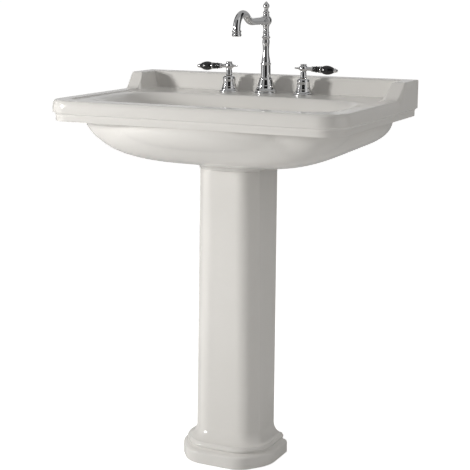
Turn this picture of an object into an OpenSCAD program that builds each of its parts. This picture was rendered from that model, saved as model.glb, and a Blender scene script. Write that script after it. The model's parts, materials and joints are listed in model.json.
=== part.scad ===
// Pedestal wash basin with a three-hole lever tap, click waste and bottle trap.
// Millimetres. X to the right, Y towards the wall, Z up.
// The origin lies on the floor, under the middle of the basin's outline.

/* [Basin] */
// Width over the sides
basin_w = 730; // [690:5:780]
// Depth from the front to the wall
basin_d = 500; // [490:2:530]
// Height of the rim above the floor
rim_z = 873; // [850:1:900]
// Plan radius of the front corners
corner_r = 60; // [40:1:80]
// Height of the upper band of the rim
band_h = 29; // [24:1:34]
// Radius of the cove under the upper band, which is also the inset of the lower band
cove_r = 7; // [4:0.5:9]
// Height of the lower band below the cove
skirt_h = 12; // [8:1:16]
// Rounding of the rim's top edge
edge_r = 8; // [4:0.5:10]
// Width of the flat rim along the sides
side_rim_w = 37; // [30:1:50]
// Width of the flat rim along the front
front_rim_w = 45; // [35:1:60]
// How far the deck panel lies below the rim
panel_drop = 3; // [1.5:0.5:5]
// Thickness of the deck where the tap goes through
deck_t = 14; // [10:1:20]

/* [Upstand] */
// Height of the upstand above the rim
upstand_h = 39; // [30:1:60]
// Thickness of the upstand at its top
upstand_t = 41; // [36:1:46]
// Rounding of the upstand's front edge
upstand_r = 8; // [4:0.5:10]
// Fillet between the upstand and the deck
upstand_fillet = 3.5; // [2:0.5:4]
// Width of the ear at each end of the upstand
ear_w = 28; // [22:1:34]
// How far the ear's top stands forward of the upstand
ear_reach = 46; // [30:1:60]
// Rounding of the ear's front top edge
ear_r = 9; // [5:1:12]
// Radius of the cove at the ear's foot
ear_cove_r = 22; // [12:1:26]

/* [Bowl] */
// Gap between the deck panel's edge and the mouth of the bowl
mouth_gap = 5; // [3:1:10]
// Distance from the front rim's inner edge to the back of the bowl's mouth
mouth_d = 303; // [280:1:315]
// Depth of the bowl below the deck
bowl_depth = 127; // [110:1:131]
// Power of the mouth's rounded outline
mouth_power = 3.8; // [3:0.1:5]
// Power of the floor's rounded outline
floor_power = 2.4; // [2:0.1:3]
// Share of the mouth's size at which the floor begins
floor_share = 0.4; // [0.35:0.01:0.5]
// How far the floor's middle lies behind the middle of the mouth
floor_shift = 23; // [15:1:30]

/* [Underside] */
// Half width of the rear body below the ledge
rear_half_w = 344; // [330:1:350]
// Distance of the rear body behind the basin's front
rear_inset = 14; // [10:1:30]
// Length of the rear body's full outline, of which the wall cuts off the end
rear_len = 598; // [560:1:640]
// Depth of the rear body below the ledge
rear_depth = 79.5; // [72:0.5:85]
// Half width of the front bowl's outside
front_half_w = 327; // [318:1:338]
// Distance of the front bowl's outside behind the basin's front
front_inset = 47; // [38:1:52]
// Length of the front bowl's outside
front_len = 366; // [350:1:380]
// Depth of the front bowl's outside below the ledge
front_depth = 100.5; // [95:0.5:103]
// Half width of the pocket behind the bowl that takes the tap's tails
pocket_half_w = 160; // [152:1:180]
// Depth of the pocket from its front to the back wall
pocket_d = 98; // [92:1:104]
// Thickness of the back wall of the basin
back_wall_t = 12; // [9:1:16]
// Depth of the basin's foot below its rim
basin_foot_drop = 165; // [158:1:180]
// Radius of the wall fixing holes
wall_hole_r = 7; // [5:0.5:8]
// Distance between the wall fixing holes
wall_hole_pitch = 280; // [240:5:290]
// Height of the wall fixing holes below the rim
wall_hole_drop = 73; // [60:1:85]

/* [Pedestal] */
// Half width of the column at its top
top_half_w = 77.5; // [72:0.5:84]
// Half width of the column at its foot
foot_half_w = 85; // [80:0.5:90]
// Front of the column at its top
top_front = 53; // [48:1:60]
// Front of the column at its foot
foot_front = 57; // [50:1:64]
// Back of the column at its top
top_back = 82; // [74:1:90]
// Back of the column at its foot
foot_back = 60; // [54:1:70]
// Width of the bevelled corner, seen from the front
bevel_w = 29; // [24:1:34]
// Depth of the bevelled corner, seen from the side
bevel_d = 29; // [24:1:34]
// Wall thickness
pedestal_wall = 12; // [9:0.5:14]
// Half width of the plinth
plinth_half_w = 120; // [112:1:128]
// Front of the plinth
plinth_front = 106; // [98:1:114]
// Height of the plinth up to its rounded edge
plinth_h = 25; // [18:1:28]
// Rounding of the plinth's top edge
plinth_r = 7; // [4:0.5:9]
// Height where the moulded foot runs into the column
foot_z = 75; // [70:1:95]
// Half width of the open back
back_slot_half_w = 52; // [44:1:56]

/* [Tap] */
// Distance between the middle of the spout and each valve
tap_pitch = 100; // [90:1:110]
// Distance of the tap holes from the wall
tap_from_wall = 74; // [73:1:78]
// Radius of the tap holes
tap_hole_r = 17.5; // [16:0.5:19]
// Radius of the spout's threaded tail
spout_tail_r = 9; // [8:0.5:10]
// Radius of the valves' threaded tails
valve_tail_r = 13.2; // [12:0.1:14]
// Height of the spout's waterway above the deck
spout_h = 176; // [170:1:200]
// Radius of the spout's tube
tube_r = 8.7; // [8:0.1:9]
// Wall of the spout's tube
tube_wall = 1.8; // [1.2:0.1:2.4]
// Reach of the spout from its own axis to the middle of the outlet
spout_reach = 163; // [150:1:175]
// Radius of the low bend of the spout
low_bend_r = 40; // [32:1:48]
// Radius of the crest of the spout
crest_r = 33; // [28:1:36]
// How far the middle of the crest's bend lies below the middle of the spout's arm
crest_drop = 14; // [8:1:18]
// How far the outlet hangs below the middle of the crest's bend
outlet_drop = 12; // [10:1:30]
// Height of the lever's axis above the deck
lever_h = 64; // [60:1:70]
// How far the lever droops towards its tip, in degrees
lever_droop = 2; // [0:0.5:4]
// Radius of the black grip at its thickest
grip_r = 11.7; // [10:0.1:13]
// Length of the black grip
grip_len = 31.5; // [26:0.5:36]
// Height of the tap's waterways below the deck
feed_drop = 57; // [52:1:64]
// Radius of the feed pipes
feed_r = 6; // [5:0.5:7]

/* [Waste and trap] */
// Distance of the waste hole behind the middle of the basin
waste_y = 4; // [-4:1:10]
// Radius of the waste hole
waste_hole_r = 23; // [22:0.5:25]
// Radius of the waste's flange
waste_flange_r = 31; // [29:0.5:33]
// Radius of the waste's threaded tail
waste_tail_r = 20.9; // [20:0.1:21.5]
// Length of the waste below the basin's floor
waste_len = 92; // [84:1:100]
// Radius of the trap's pipes
pipe_r = 16; // [15:0.5:17]
// Radius of the trap's bottle
bottle_r = 30; // [28:1:33]
// Height of the trap's outlet above the floor
outlet_z = 575; // [540:1:590]

/* [Fits] */
// Clearance between pieces that are only slipped together
slip = 0.3; // [0.2:0.05:0.4]
// Radial clearance where a shaft turns or slides
running = 0.05; // [0.02:0.01:0.08]

/* [Hidden] */
$fn = 64;
oval_sides = 48;
tube_sides = 36;

// Basin
half_w = basin_w / 2;
front_y = -basin_d / 2;
wall_y = basin_d / 2;
ledge_z = rim_z - band_h - cove_r - skirt_h;
deck_z = rim_z - panel_drop;
deck_under_z = deck_z - deck_t;
upstand_z = rim_z + upstand_h;
upstand_y = wall_y - upstand_t;
panel_half_w = half_w - side_rim_w;
panel_front = front_y + front_rim_w;
panel_back = upstand_y - 1;
mouth_half_w = panel_half_w - mouth_gap;
mouth_front = panel_front + 2;
mouth_back = panel_front + mouth_d;
floor_z = deck_z - bowl_depth;
flange_recess = 2.5;
seal_t = 1.5;
seat_z = floor_z - flange_recess;
pedestal_h = rim_z - basin_foot_drop;
pocket_back = wall_y - back_wall_t;
pocket_front = pocket_back - pocket_d;
foot_pocket_z = seat_z - 15;

// Tap
tap_y = wall_y - tap_from_wall;
gasket_t = 1.5;
washer_t = 2.5;
nut_h = 8;
feed_port_x = 26;
feed_port_r = 9;
pipe_seat = 8;
// Heights of the spout's column above the deck
column_top_h = spout_h - 14;
spigot_r = 5.5;
spigot_top_h = spout_h + 15.3;
hub_r = 13.5;
// Angle through which the low bend climbs before the crest takes over
climb = acos((low_bend_r + crest_drop) / (low_bend_r + crest_r));
crest_y = spout_reach - crest_r;
bend_start_y = crest_y - (low_bend_r + crest_r) * sin(climb);
// Heights inside the valve, above the deck
barrel_floor_h = 10;
barrel_top_h = 22;
disc_t = 2.5;
disc_r = 7;
disc_port_x = 3.6;
disc_port_r = 1.8;
passage_r = 2.4;
spindle_r = 3.5;
neck_len = 25;
bead_len = 18.5;
ring_len = 4;
bead_start = neck_len;
ring_start = bead_start + bead_len;
grip_start = ring_start + ring_len;
tip_start = grip_start + grip_len;
rod_r = 2.5;

// Waste and trap
plug_seal_t = 1.2;
waste_bore_r = waste_tail_r - 3.9;
waste_bottom_z = seat_z - waste_len;
waste_washer_t = 4;
waste_nut_h = 10;
cartridge_seat_z = seat_z - 42;
stem_r = 4;
inlet_gap = 6;
bottle_top_z = outlet_z + 27;
bottle_bottom_z = outlet_z - 45;
bottle_wall = 2.5;

// ---------- Shapes that repeat ----------

// Points on a circular arc
function arc(cx, cy, r, from, to, steps = 6) =
    [for (i = [0:steps]) let(a = from + (to - from) * i / steps) [cx + r * cos(a), cy + r * sin(a)]];

function mix(a, b, t) = a + (b - a) * t;

function unit(v) = v / norm(v);

// A closed oval outline whose power sets how square it is
function oval(half_x, front, back, power) =
    let(mid = (front + back) / 2, half_y = (back - front) / 2)
    [for (i = [0:oval_sides - 1])
        let(a = 360 * i / oval_sides,
            k = pow(pow(abs(cos(a)), power) + pow(abs(sin(a)), power), -1 / power))
        [half_x * k * cos(a), mid + half_y * k * sin(a)]];

function at_z(outline, z) = [for (p = outline) [p[0], p[1], z]];

// Points that round the corner v, between p and q
function rounded(p, v, q, r, steps = 5) =
    let(to_p = unit(p - v), to_q = unit(q - v), half = acos(to_p * to_q) / 2,
        centre = v + unit(to_p + to_q) * r / sin(half),
        a = v + to_p * r / tan(half) - centre, b = v + to_q * r / tan(half) - centre,
        turn = 180 - 2 * half, start = atan2(a[1], a[0]), side = sign(a[0] * b[1] - a[1] * b[0]))
    [for (i = [0:steps]) let(t = start + side * turn * i / steps) centre + r * [cos(t), sin(t)]];

// The pedestal's outline: a flat front, two bevelled corners and a square back
function bevelled(half_x, front, back, bw, bd, front_r, side_r, back_r = 5) =
    let(c = [[half_x, back], [-half_x, back], [-half_x, bd - front], [bw - half_x, -front],
            [half_x - bw, -front], [half_x, bd - front]],
        r = [back_r, back_r, side_r, front_r, front_r, side_r])
    [for (i = [0:5]) each rounded(c[(i + 5) % 6], c[i], c[(i + 1) % 6], r[i])];

// A closed solid through a stack of outlines, from the lowest to the highest
module loft(rings) {
    n = len(rings[0]);
    last = (len(rings) - 1) * n;
    sides = [for (k = [0:n:last - n]) for (i = [0:n - 1])
        [k + i, k + n + i, k + n + (i + 1) % n, k + (i + 1) % n]];
    caps = [[for (i = [0:n - 1]) i], [for (i = [n - 1:-1:0]) last + i]];
    polyhedron(points = [for (ring = rings) each ring], faces = concat(sides, caps), convexity = 8);
}

// The outside of a bowl: u^edge + (depth)^flat = 1 from the ledge to the bottom
module bowl_outside(half_x, front, len, depth, power, edge, flat) {
    steps = 12;
    loft([for (k = [1:steps + 1])
        let(t = 90 * (1 - min(k, steps) / steps), u = pow(cos(t), 2 / edge),
            mid = front + len / 2, lift = k > steps ? 4 : 0,
            ring = oval(half_x * u, mid - len / 2 * u, mid + len / 2 * u, power))
        [for (p = ring) [p[0], min(p[1], wall_y), ledge_z - depth * pow(sin(t), 2 / flat) + lift]]]);
}

module turned(outline) {
    rotate_extrude() polygon(outline);
}

// A ring with a bore, standing on the plane z = 0
module ring(r, bore, h) {
    difference() {
        cylinder(r = r, h = h);
        translate([0, 0, -1]) cylinder(r = bore, h = h + 2);
    }
}

// A hexagon nut, r across its corners
module hex_nut(r, bore, h) {
    difference() {
        intersection() {
            cylinder(r = r, h = h, $fn = 6);
            turned([[0, 0], [r * 0.92, 0], [r, h * 0.12], [r, h * 0.88], [r * 0.92, h], [0, h]]);
        }
        translate([0, 0, -1]) cylinder(r = bore, h = h + 2);
    }
}

module at_spout() {
    translate([0, tap_y, deck_z]) children();
}

module at_right_tap() {
    translate([tap_pitch, tap_y, deck_z]) children();
}

module at_left_tap() {
    mirror([1, 0, 0]) at_right_tap() children();
}

module at_both_taps() {
    at_left_tap() children();
    at_right_tap() children();
}

// Along the lever, with its own Z axis pointing outwards from the hub
module along_lever() {
    translate([0, 0, lever_h]) rotate([0, 90 + lever_droop, 0]) children();
}

module at_waste(z) {
    translate([0, waste_y, z]) children();
}

// ---------- Ceramics ----------

// The rim's moulded edge: X is the distance inwards from the outline, Y is the height
function rim_profile() = concat(
    [[corner_r, ledge_z]],
    arc(cove_r + 2, ledge_z + 2, 2, 270, 180, 3),
    arc(0, ledge_z + skirt_h, cove_r, 0, 76, 5),
    arc(1.2, ledge_z + skirt_h + cove_r + 1.2, 1.2, 240, 180, 2),
    arc(edge_r, rim_z - edge_r, edge_r, 180, 90, 5),
    [[corner_r, rim_z]]);

module rim_side_run() {
    translate([-half_w, wall_y, 0]) rotate([90, 0, 0])
        linear_extrude(basin_d - corner_r) polygon(rim_profile());
}

module rim_corner() {
    translate([corner_r - half_w, front_y + corner_r, 0]) rotate([0, 0, 180])
        rotate_extrude(angle = 90) polygon([for (p = rim_profile()) [corner_r - p[0], p[1]]]);
}

module rim_solid() {
    rim_side_run();
    mirror([1, 0, 0]) rim_side_run();
    rim_corner();
    mirror([1, 0, 0]) rim_corner();
    translate([corner_r - half_w, front_y, 0]) rotate([90, 0, 90])
        linear_extrude(basin_w - 2 * corner_r) polygon(rim_profile());
    translate([corner_r - half_w, front_y + corner_r, ledge_z])
        cube([basin_w - 2 * corner_r, basin_d - corner_r, rim_z - ledge_z]);
}

module upstand() {
    outline = concat(
        [[wall_y, deck_z - 5]],
        arc(wall_y - 2, upstand_z - 2, 2, 0, 90, 2),
        arc(upstand_y + upstand_r, upstand_z - upstand_r, upstand_r, 90, 180, 5),
        arc(upstand_y - upstand_fillet, deck_z + upstand_fillet, upstand_fillet, 0, -90, 4),
        [[upstand_y - upstand_fillet, deck_z - 5]]);
    translate([-half_w, 0, 0]) rotate([90, 0, 90]) linear_extrude(basin_w) polygon(outline);
}

// One ear: its side view and its front view, each carried right through the other
module ear() {
    base_z = rim_z - edge_r - 2;
    ear_front = upstand_y - ear_reach;
    slope = 40;
    shoulder = [ear_front + ear_r, upstand_z - ear_r];
    foot_run = 30;
    side_view = concat(
        [[wall_y, base_z], [wall_y, upstand_z - 2], [wall_y - 2, upstand_z]],
        arc(shoulder[0], shoulder[1], ear_r, 90, 180 - slope / 2, 5),
        arc(ear_front - foot_run + 2, rim_z + ear_cove_r, ear_cove_r, -slope / 2, -90, 6),
        [[ear_front - foot_run + 2, base_z]]);
    front_view = concat(
        [[half_w, base_z], [half_w, upstand_z - 3], [half_w - 3, upstand_z]],
        arc(half_w - ear_w + ear_r + 2, upstand_z - ear_r, ear_r, 90, 170, 4),
        [[half_w - ear_w - 5, rim_z - 4], [half_w - ear_w - 5, base_z]]);
    intersection() {
        translate([half_w - 2 * ear_w, 0, 0]) rotate([90, 0, 90])
            linear_extrude(2 * ear_w) polygon(side_view);
        translate([0, wall_y, 0]) rotate([90, 0, 0]) linear_extrude(basin_d / 2) polygon(front_view);
    }
}

// The bowl's hollow: a soft roll at the mouth that runs down to a level floor
module bowl_hollow() {
    steps = 14;
    rows = [for (k = [0:steps]) let(u = mix(floor_share, 1, k / steps), fall = (1 + cos(180 * k / steps)) / 2,
            mid = mix(floor_shift, 0, (u - floor_share) / (1 - floor_share)) + (mouth_front + mouth_back) / 2,
            half_y = (mouth_back - mouth_front) / 2)
        at_z(oval(mouth_half_w * u, mid - half_y * u, mid + half_y * u, mix(floor_power, mouth_power, k / steps)),
            deck_z - bowl_depth * fall)];
    loft(concat(rows, [at_z([for (p = rows[steps]) [p[0], p[1]]], rim_z + 5)]));
}

module deck_panel() {
    r = 28;
    translate([0, 0, deck_z]) linear_extrude(panel_drop + 5) union() {
        translate([-panel_half_w, panel_front + r]) square([2 * panel_half_w, panel_back - panel_front - r]);
        translate([r - panel_half_w, panel_front]) square([2 * (panel_half_w - r), r + 1]);
        for (x = [r - panel_half_w, panel_half_w - r]) translate([x, panel_front + r]) circle(r);
    }
}

// The column's outline at its top, grown outwards by g
function top_outline(g) =
    bevelled(top_half_w + g, top_front + g, top_back + g, bevel_w, bevel_d, 50, 12);

// The basin's own foot, which flares out of the pedestal's outline
module basin_foot() {
    flare = 11;
    loft(concat(
        [at_z(top_outline(1.5), pedestal_h), at_z(top_outline(1.5), pedestal_h + 3)],
        [for (a = [15:15:90]) at_z(top_outline(1.5 + flare * (1 - cos(a))), pedestal_h + 3 + flare * sin(a))],
        [at_z(top_outline(1.5 + flare), ledge_z - rear_depth + 10)]));
}

module tap_pocket() {
    r = 20;
    translate([-pocket_half_w, pocket_front, 0]) linear_extrude(deck_under_z) union() {
        translate([r, 0]) square([2 * (pocket_half_w - r), pocket_d]);
        translate([0, r]) square([2 * pocket_half_w, pocket_d - 2 * r]);
        for (x = [r, 2 * pocket_half_w - r], y = [r, pocket_d - r]) translate([x, y]) circle(r);
    }
}

module basin() {
    color("whitesmoke") difference() {
        union() {
            rim_solid();
            upstand();
            ear();
            mirror([1, 0, 0]) ear();
            bowl_outside(rear_half_w, front_y + rear_inset, rear_len, rear_depth, 2.4, 3.8, 2.35);
            bowl_outside(front_half_w, front_y + front_inset, front_len, front_depth, 5, 3.4, 1.67);
            basin_foot();
        }
        difference() {
            deck_panel();
            upstand();
            ear();
            mirror([1, 0, 0]) ear();
        }
        bowl_hollow();
        tap_pocket();
        translate([0, 0, pedestal_h - 1]) linear_extrude(foot_pocket_z - pedestal_h + 1)
            polygon(top_outline(-pedestal_wall));
        at_waste(seat_z) cylinder(r = waste_flange_r + 1.2, h = bowl_depth);
        at_waste(pedestal_h) cylinder(r = waste_hole_r, h = 60);
        at_spout() translate([0, 0, -deck_t - 5]) cylinder(r = tap_hole_r, h = deck_t + 10);
        at_both_taps() translate([0, 0, -deck_t - 5]) cylinder(r = tap_hole_r, h = deck_t + 10);
        for (x = [-wall_hole_pitch / 2, wall_hole_pitch / 2])
            translate([x, wall_y + 5, rim_z - wall_hole_drop]) rotate([90, 0, 0])
                cylinder(r = wall_hole_r, h = back_wall_t + 10);
    }
}

// Outline of the pedestal between the plinth (t = 0) and the column's foot (t = 1)
function foot_outline(t) = bevelled(
    mix(plinth_half_w, foot_half_w, t), mix(plinth_front, foot_front, t), mix(foot_back + 3, foot_back, t),
    mix(52, bevel_w, t), mix(66, bevel_d, t), mix(70, 50, t), mix(80, 12, t));

module pedestal() {
    inset = plinth_half_w - foot_half_w;
    torus_r = 6;
    torus_z = plinth_h + plinth_r + 3 + torus_r;
    scotia_z = torus_z + torus_r + 1;
    scotia_x = 13.5;
    // The moulding: the distance inwards from the plinth's side, and the height
    moulding = concat(
        [[1, 0], [0, 1.5]],
        arc(plinth_r, plinth_h, plinth_r, 180, 100, 4),
        arc(10.5 + torus_r, torus_z, torus_r, 235, 125, 5),
        [for (a = [0:15:90]) [mix(scotia_x, inset, sin(a)), mix(foot_z, scotia_z, cos(a))]]);
    color("whitesmoke") difference() {
        loft(concat(
            [for (m = moulding) at_z(foot_outline(m[0] / inset), m[1])],
            [at_z(top_outline(0), pedestal_h)]));
        loft([at_z(bevelled(foot_half_w - pedestal_wall, foot_front - pedestal_wall, foot_back - pedestal_wall,
                    bevel_w - 5, bevel_d - 3, 40, 8), -1),
            at_z(bevelled(top_half_w - pedestal_wall, top_front - pedestal_wall, top_back - pedestal_wall,
                    bevel_w - 5, bevel_d - 3, 40, 8), pedestal_h + 1)]);
        translate([-back_slot_half_w, 20, -1]) cube([2 * back_slot_half_w, basin_d, pedestal_h + 2]);
    }
}

// ---------- Spout ----------

module spout_flange() {
    color("silver") at_spout() turned(concat(
        [[28.5, 0], [28.5, 2.6], [27.2, 4.2], [25.8, 5.2]],
        arc(35, 20, 14, 238, 183, 5),
        [[20, 20.8], [19.4, 23], [17.2, 30], [16.2, 33.5], [16.2, 35], [14.4, 38], [13.6, 40], [12 + slip, 40],
            [12 + slip, 30], [18, 18], [21.5, 7], [21.5, 0]]));
}

// The column stands on its foot inside the flange and ends in the spigot that the hub turns on
module spout_column() {
    beads = concat(
        [[12, 44], [11.6, 66], [11.6, 69]],
        arc(10.9, 72, 2, -60, 60, 4),
        [[10.6, 75.5], [10.4, 80], [8.7, 89], [7.7, 97], [7.3, 105], [7.9, 115], [8.8, 123], [8.8, 128], [7.8, 131]],
        arc(8.4, 136, 2.1, -70, 70, 5),
        [[7.8, 139.5], [7.2, 144]],
        arc(6.9, 147.5, 1.4, -70, 70, 3),
        [[6.6, 151], [6.5, 157], [7.4, column_top_h]]);
    color("silver") at_spout() difference() {
        turned(concat(
            [[0, -feed_drop + 13], [spout_tail_r, -feed_drop + 13], [spout_tail_r, gasket_t], [20, gasket_t], [20, 4.5],
                [12, 6]],
            beads,
            [[spigot_r, column_top_h], [spigot_r, spigot_top_h - 7.5], [3.9, spigot_top_h - 7.5],
                [3.9, spigot_top_h - 5.9], [spigot_r, spigot_top_h - 5.9], [spigot_r, spigot_top_h], [0, spigot_top_h]]));
        translate([0, 0, column_top_h + 4]) ring(spigot_r + 1, 3.9, 1.6);
        translate([0, 0, -feed_drop]) cylinder(r = 3.2, h = feed_drop + spout_h + 2);
        translate([0, 0, spigot_top_h - 9]) cylinder(r = rod_r + slip, h = 20);
        translate([0, 0, spout_h]) rotate([90, 0, 0]) cylinder(r = 2.6, h = 20, center = true);
    }
}

module spout_o_rings() {
    color("dimgray") at_spout()
        for (h = [column_top_h + 4.8, spigot_top_h - 6.7])
            translate([0, 0, h]) rotate_extrude() translate([4.72, 0]) circle(r = 0.73, $fn = 24);
}

module spout_hub() {
    bottom = column_top_h + slip;
    top = spigot_top_h - slip;
    color("silver") at_spout() difference() {
        union() {
            translate([0, 0, spout_h]) sphere(hub_r);
            turned([[0, bottom], [8.6, bottom], [9, bottom + 1.2], [7.6, bottom + 2.4], [7.6, spout_h - 6],
                [0, spout_h - 6]]);
            turned([[0, spout_h + 6], [7.4, spout_h + 6], [7.4, spout_h + 12], [8.2, top - 2], [7.8, top], [0, top]]);
            translate([0, 0, spout_h]) rotate([90, 0, 0])
                turned([[0, 6], [10.8, 6], [10.8, 15], [10, 17], [10.6, 19], [10.4, 24], [0, 24]]);
        }
        cylinder(r = spigot_r + running, h = spout_h * 2);
        translate([0, 0, spout_h - 6]) cylinder(r = 8.5, h = 12);
        translate([0, 0, spout_h]) rotate([90, 0, 0]) cylinder(r = 5, h = 30);
        translate([0, -14, spout_h]) rotate([90, 0, 0]) cylinder(r = tube_r + slip, h = 30);
    }
}

// The neck's stations: distance forwards, height, direction of travel and radius of the outside
function neck_path() = concat(
    [[14, 0, 0, tube_r], [24 + slip, 0, 0, tube_r], [24 + slip, 0, 0, tube_r + 1.4], [32, 0, 0, tube_r + 0.6],
        [42, 0, 0, tube_r + 0.2]],
    [for (i = [0:5]) let(a = climb * i / 5)
        [bend_start_y + low_bend_r * sin(a), low_bend_r * (1 - cos(a)), a, tube_r]],
    [for (i = [1:12]) let(a = mix(climb, -90, i / 12))
        [crest_y - crest_r * sin(a), crest_r * cos(a) - crest_drop, a, tube_r]],
    [[spout_reach, -crest_drop - outlet_drop, -90, tube_r]]);

// A circle of radius r square to the path at station m, moved by the distance over
function station(m, r, over = 0) =
    [for (i = [0:tube_sides - 1]) let(t = 360 * i / tube_sides)
        [r * cos(t), r * sin(t) * sin(m[2]) - m[0] - over * cos(m[2]),
            m[1] + r * sin(t) * cos(m[2]) + over * sin(m[2])]];

module spout_neck() {
    path = neck_path();
    last = len(path) - 1;
    bore = tube_r - tube_wall;
    color("silver") at_spout() translate([0, 0, spout_h]) difference() {
        loft([for (m = path) station(m, m[3])]);
        loft([for (i = [0, each [5:last]])
            station(path[i], bore, i == 0 ? -1 : i == last ? 1 : 0)]);
    }
}

module at_outlet() {
    at_spout() translate([0, -spout_reach, spout_h - crest_drop - outlet_drop]) children();
}

module spout_outlet_ring() {
    color("silver") at_outlet() translate([0, 0, -6]) difference() {
        turned([[0, 0], [10.2, 0], [11.1, 1.5], [11.1, 5], [10, 6.5], [10, 9.5], [11, 11], [11, 12.4], [10.2, 14], [0, 14]]);
        translate([0, 0, -1]) cylinder(r = tube_r + slip, h = 20);
    }
}

module aerator() {
    color("gainsboro") at_outlet() translate([0, 0, -5.2]) difference() {
        cylinder(r = tube_r, h = 5.2);
        for (a = [0:60:300]) rotate([0, 0, a]) translate([4.6, 0, -1]) cylinder(r = 1.5, h = 8);
        translate([0, 0, -1]) cylinder(r = 1.5, h = 8);
    }
}

module spout_finial() {
    h = spigot_top_h;
    color("silver") at_spout() turned(concat(
        [[0, h - 8], [rod_r, h - 8], [rod_r, h], [6.2, h], [7.8, h + 3], [7.8, h + 5], [5.2, h + 8], [4.6, h + 10.5]],
        arc(0, h + 19.5, 7.7, -48, 50, 7),
        [[2.4, h + 29], [0, h + 30.7]]));
}

module spout_gasket() {
    color("dimgray") at_spout() ring(21, spout_tail_r + slip, gasket_t);
}

module spout_washer() {
    color("dimgray") at_spout() translate([0, 0, -deck_t - washer_t]) ring(24, spout_tail_r + slip, washer_t);
}

module spout_backnut() {
    color("darkkhaki") at_spout() translate([0, 0, -deck_t - washer_t - nut_h])
        hex_nut(17.3, spout_tail_r + slip, nut_h);
}

module feed_tee() {
    color("darkkhaki") at_spout() translate([0, 0, -feed_drop]) difference() {
        union() {
            translate([0, 0, -14]) cylinder(r = spout_tail_r + 4, h = 38);
            rotate([0, 90, 0]) cylinder(r = feed_port_r, h = 2 * feed_port_x, center = true);
        }
        translate([0, 0, 13]) cylinder(r = spout_tail_r + slip, h = 20);
        cylinder(r = 3.2, h = 20);
        rotate([0, 90, 0]) cylinder(r = feed_r - 1, h = 3 * feed_port_x, center = true);
        for (s = [0, 180]) rotate([0, 0, s]) translate([feed_port_x - pipe_seat, 0, 0]) rotate([0, 90, 0])
            cylinder(r = feed_r + slip, h = 20);
    }
}

// ---------- Feed pipes ----------

module feed_pipe() {
    pipe_x0 = feed_port_x - pipe_seat;
    pipe_x1 = tap_pitch - feed_port_x + pipe_seat;
    at_spout() translate([pipe_x0, 0, -feed_drop]) rotate([0, 90, 0]) ring(feed_r, feed_r - 1, pipe_x1 - pipe_x0);
}

module left_feed_pipe() {
    color("peru") mirror([1, 0, 0]) feed_pipe();
}

module right_feed_pipe() {
    color("peru") feed_pipe();
}

// A nut that reaches over the end of a port and holds the pipe
module feed_pipe_nut() {
    rotate([0, 90, 0]) translate([0, 0, -6]) difference() {
        hex_nut(12.7, feed_r + slip, 14);
        translate([0, 0, -1]) cylinder(r = feed_port_r + slip, h = 7);
    }
}

module feed_pipe_nuts() {
    color("darkkhaki") at_spout() translate([0, 0, -feed_drop]) for (s = [0, 1]) mirror([s, 0, 0]) {
        translate([feed_port_x, 0, 0]) feed_pipe_nut();
        translate([tap_pitch - feed_port_x, 0, 0]) mirror([1, 0, 0]) feed_pipe_nut();
    }
}

// ---------- Valves ----------

module valve_body() {
    difference() {
        union() {
            turned([[0, -feed_drop - 13], [15, -feed_drop - 13], [15, -feed_drop + 13], [valve_tail_r, -feed_drop + 14],
                [valve_tail_r, gasket_t], [21, gasket_t], [21, 4], [12, 5], [12, barrel_top_h], [0, barrel_top_h]]);
            translate([0, 0, -feed_drop - 34]) cylinder(r = 10.4, h = 24);
            translate([0, 0, -feed_drop]) rotate([0, -90, 0]) cylinder(r = feed_port_r, h = feed_port_x);
        }
        translate([disc_port_x, 0, -feed_drop - 35]) cylinder(r = passage_r, h = feed_drop + 50);
        translate([-disc_port_x, 0, -feed_drop]) cylinder(r = passage_r, h = feed_drop + 15);
        translate([-disc_port_x, 0, -feed_drop]) rotate([0, -90, 0]) cylinder(r = feed_r - 1, h = 2 * feed_port_x);
        translate([0, 0, barrel_floor_h]) cylinder(r = 9 + slip, h = 20);
        translate([pipe_seat - feed_port_x, 0, -feed_drop]) rotate([0, -90, 0])
            cylinder(r = feed_r + slip, h = 20);
    }
}

module left_valve_body() {
    color("darkkhaki") at_left_tap() valve_body();
}

module right_valve_body() {
    color("darkkhaki") at_right_tap() valve_body();
}

module bell_cover() {
    top = lever_h - 24.5;
    turned(concat(
        [[26, 0], [26, 2.4], [24.8, 4], [23, 4.8]],
        arc(25.5, 12.3, 7.3, 250, 190, 4),
        [[17.6, 13.2], [17.6, 14.6], [16.2, 19], [15.8, 26], [15.8, top - 7], [15, top - 3], [12, top],
            [9, top], [9, top - 2.5], [13, top - 5], [13.6, 20], [15.4, 13], [21.4, 5], [21.4, 0]]));
}

module left_bell_cover() {
    color("silver") at_left_tap() bell_cover();
}

module right_bell_cover() {
    color("silver") at_right_tap() bell_cover();
}

module valve_gaskets() {
    color("dimgray") at_both_taps() ring(21.2, valve_tail_r + slip, gasket_t);
}

module valve_washers() {
    color("dimgray") at_both_taps() translate([0, 0, -deck_t - washer_t])
        ring(25, valve_tail_r + slip, washer_t);
}

module valve_backnuts() {
    color("darkkhaki") at_both_taps() translate([0, 0, -deck_t - washer_t - nut_h])
        hex_nut(22, valve_tail_r + slip, nut_h);
}

// The fixed disc's two ports lie over the body's two passages
module fixed_disc() {
    translate([0, 0, barrel_floor_h]) difference() {
        cylinder(r = disc_r, h = disc_t);
        for (x = [-disc_port_x, disc_port_x]) translate([x, 0, -1]) cylinder(r = disc_port_r, h = disc_t + 2);
    }
}

// The moving disc's groove joins the ports after a quarter turn
module moving_disc() {
    translate([0, 0, barrel_floor_h + disc_t + running]) difference() {
        cylinder(r = disc_r, h = disc_t);
        translate([-disc_port_r, -disc_port_x - 2, -1]) cube([2 * disc_port_r, 2 * disc_port_x + 4, 2.2]);
    }
}

module ceramic_fixed_discs() {
    color("ivory") at_both_taps() fixed_disc();
}

module left_moving_disc() {
    color("ivory") at_left_tap() moving_disc();
}

module right_moving_disc() {
    color("ivory") at_right_tap() moving_disc();
}

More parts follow.
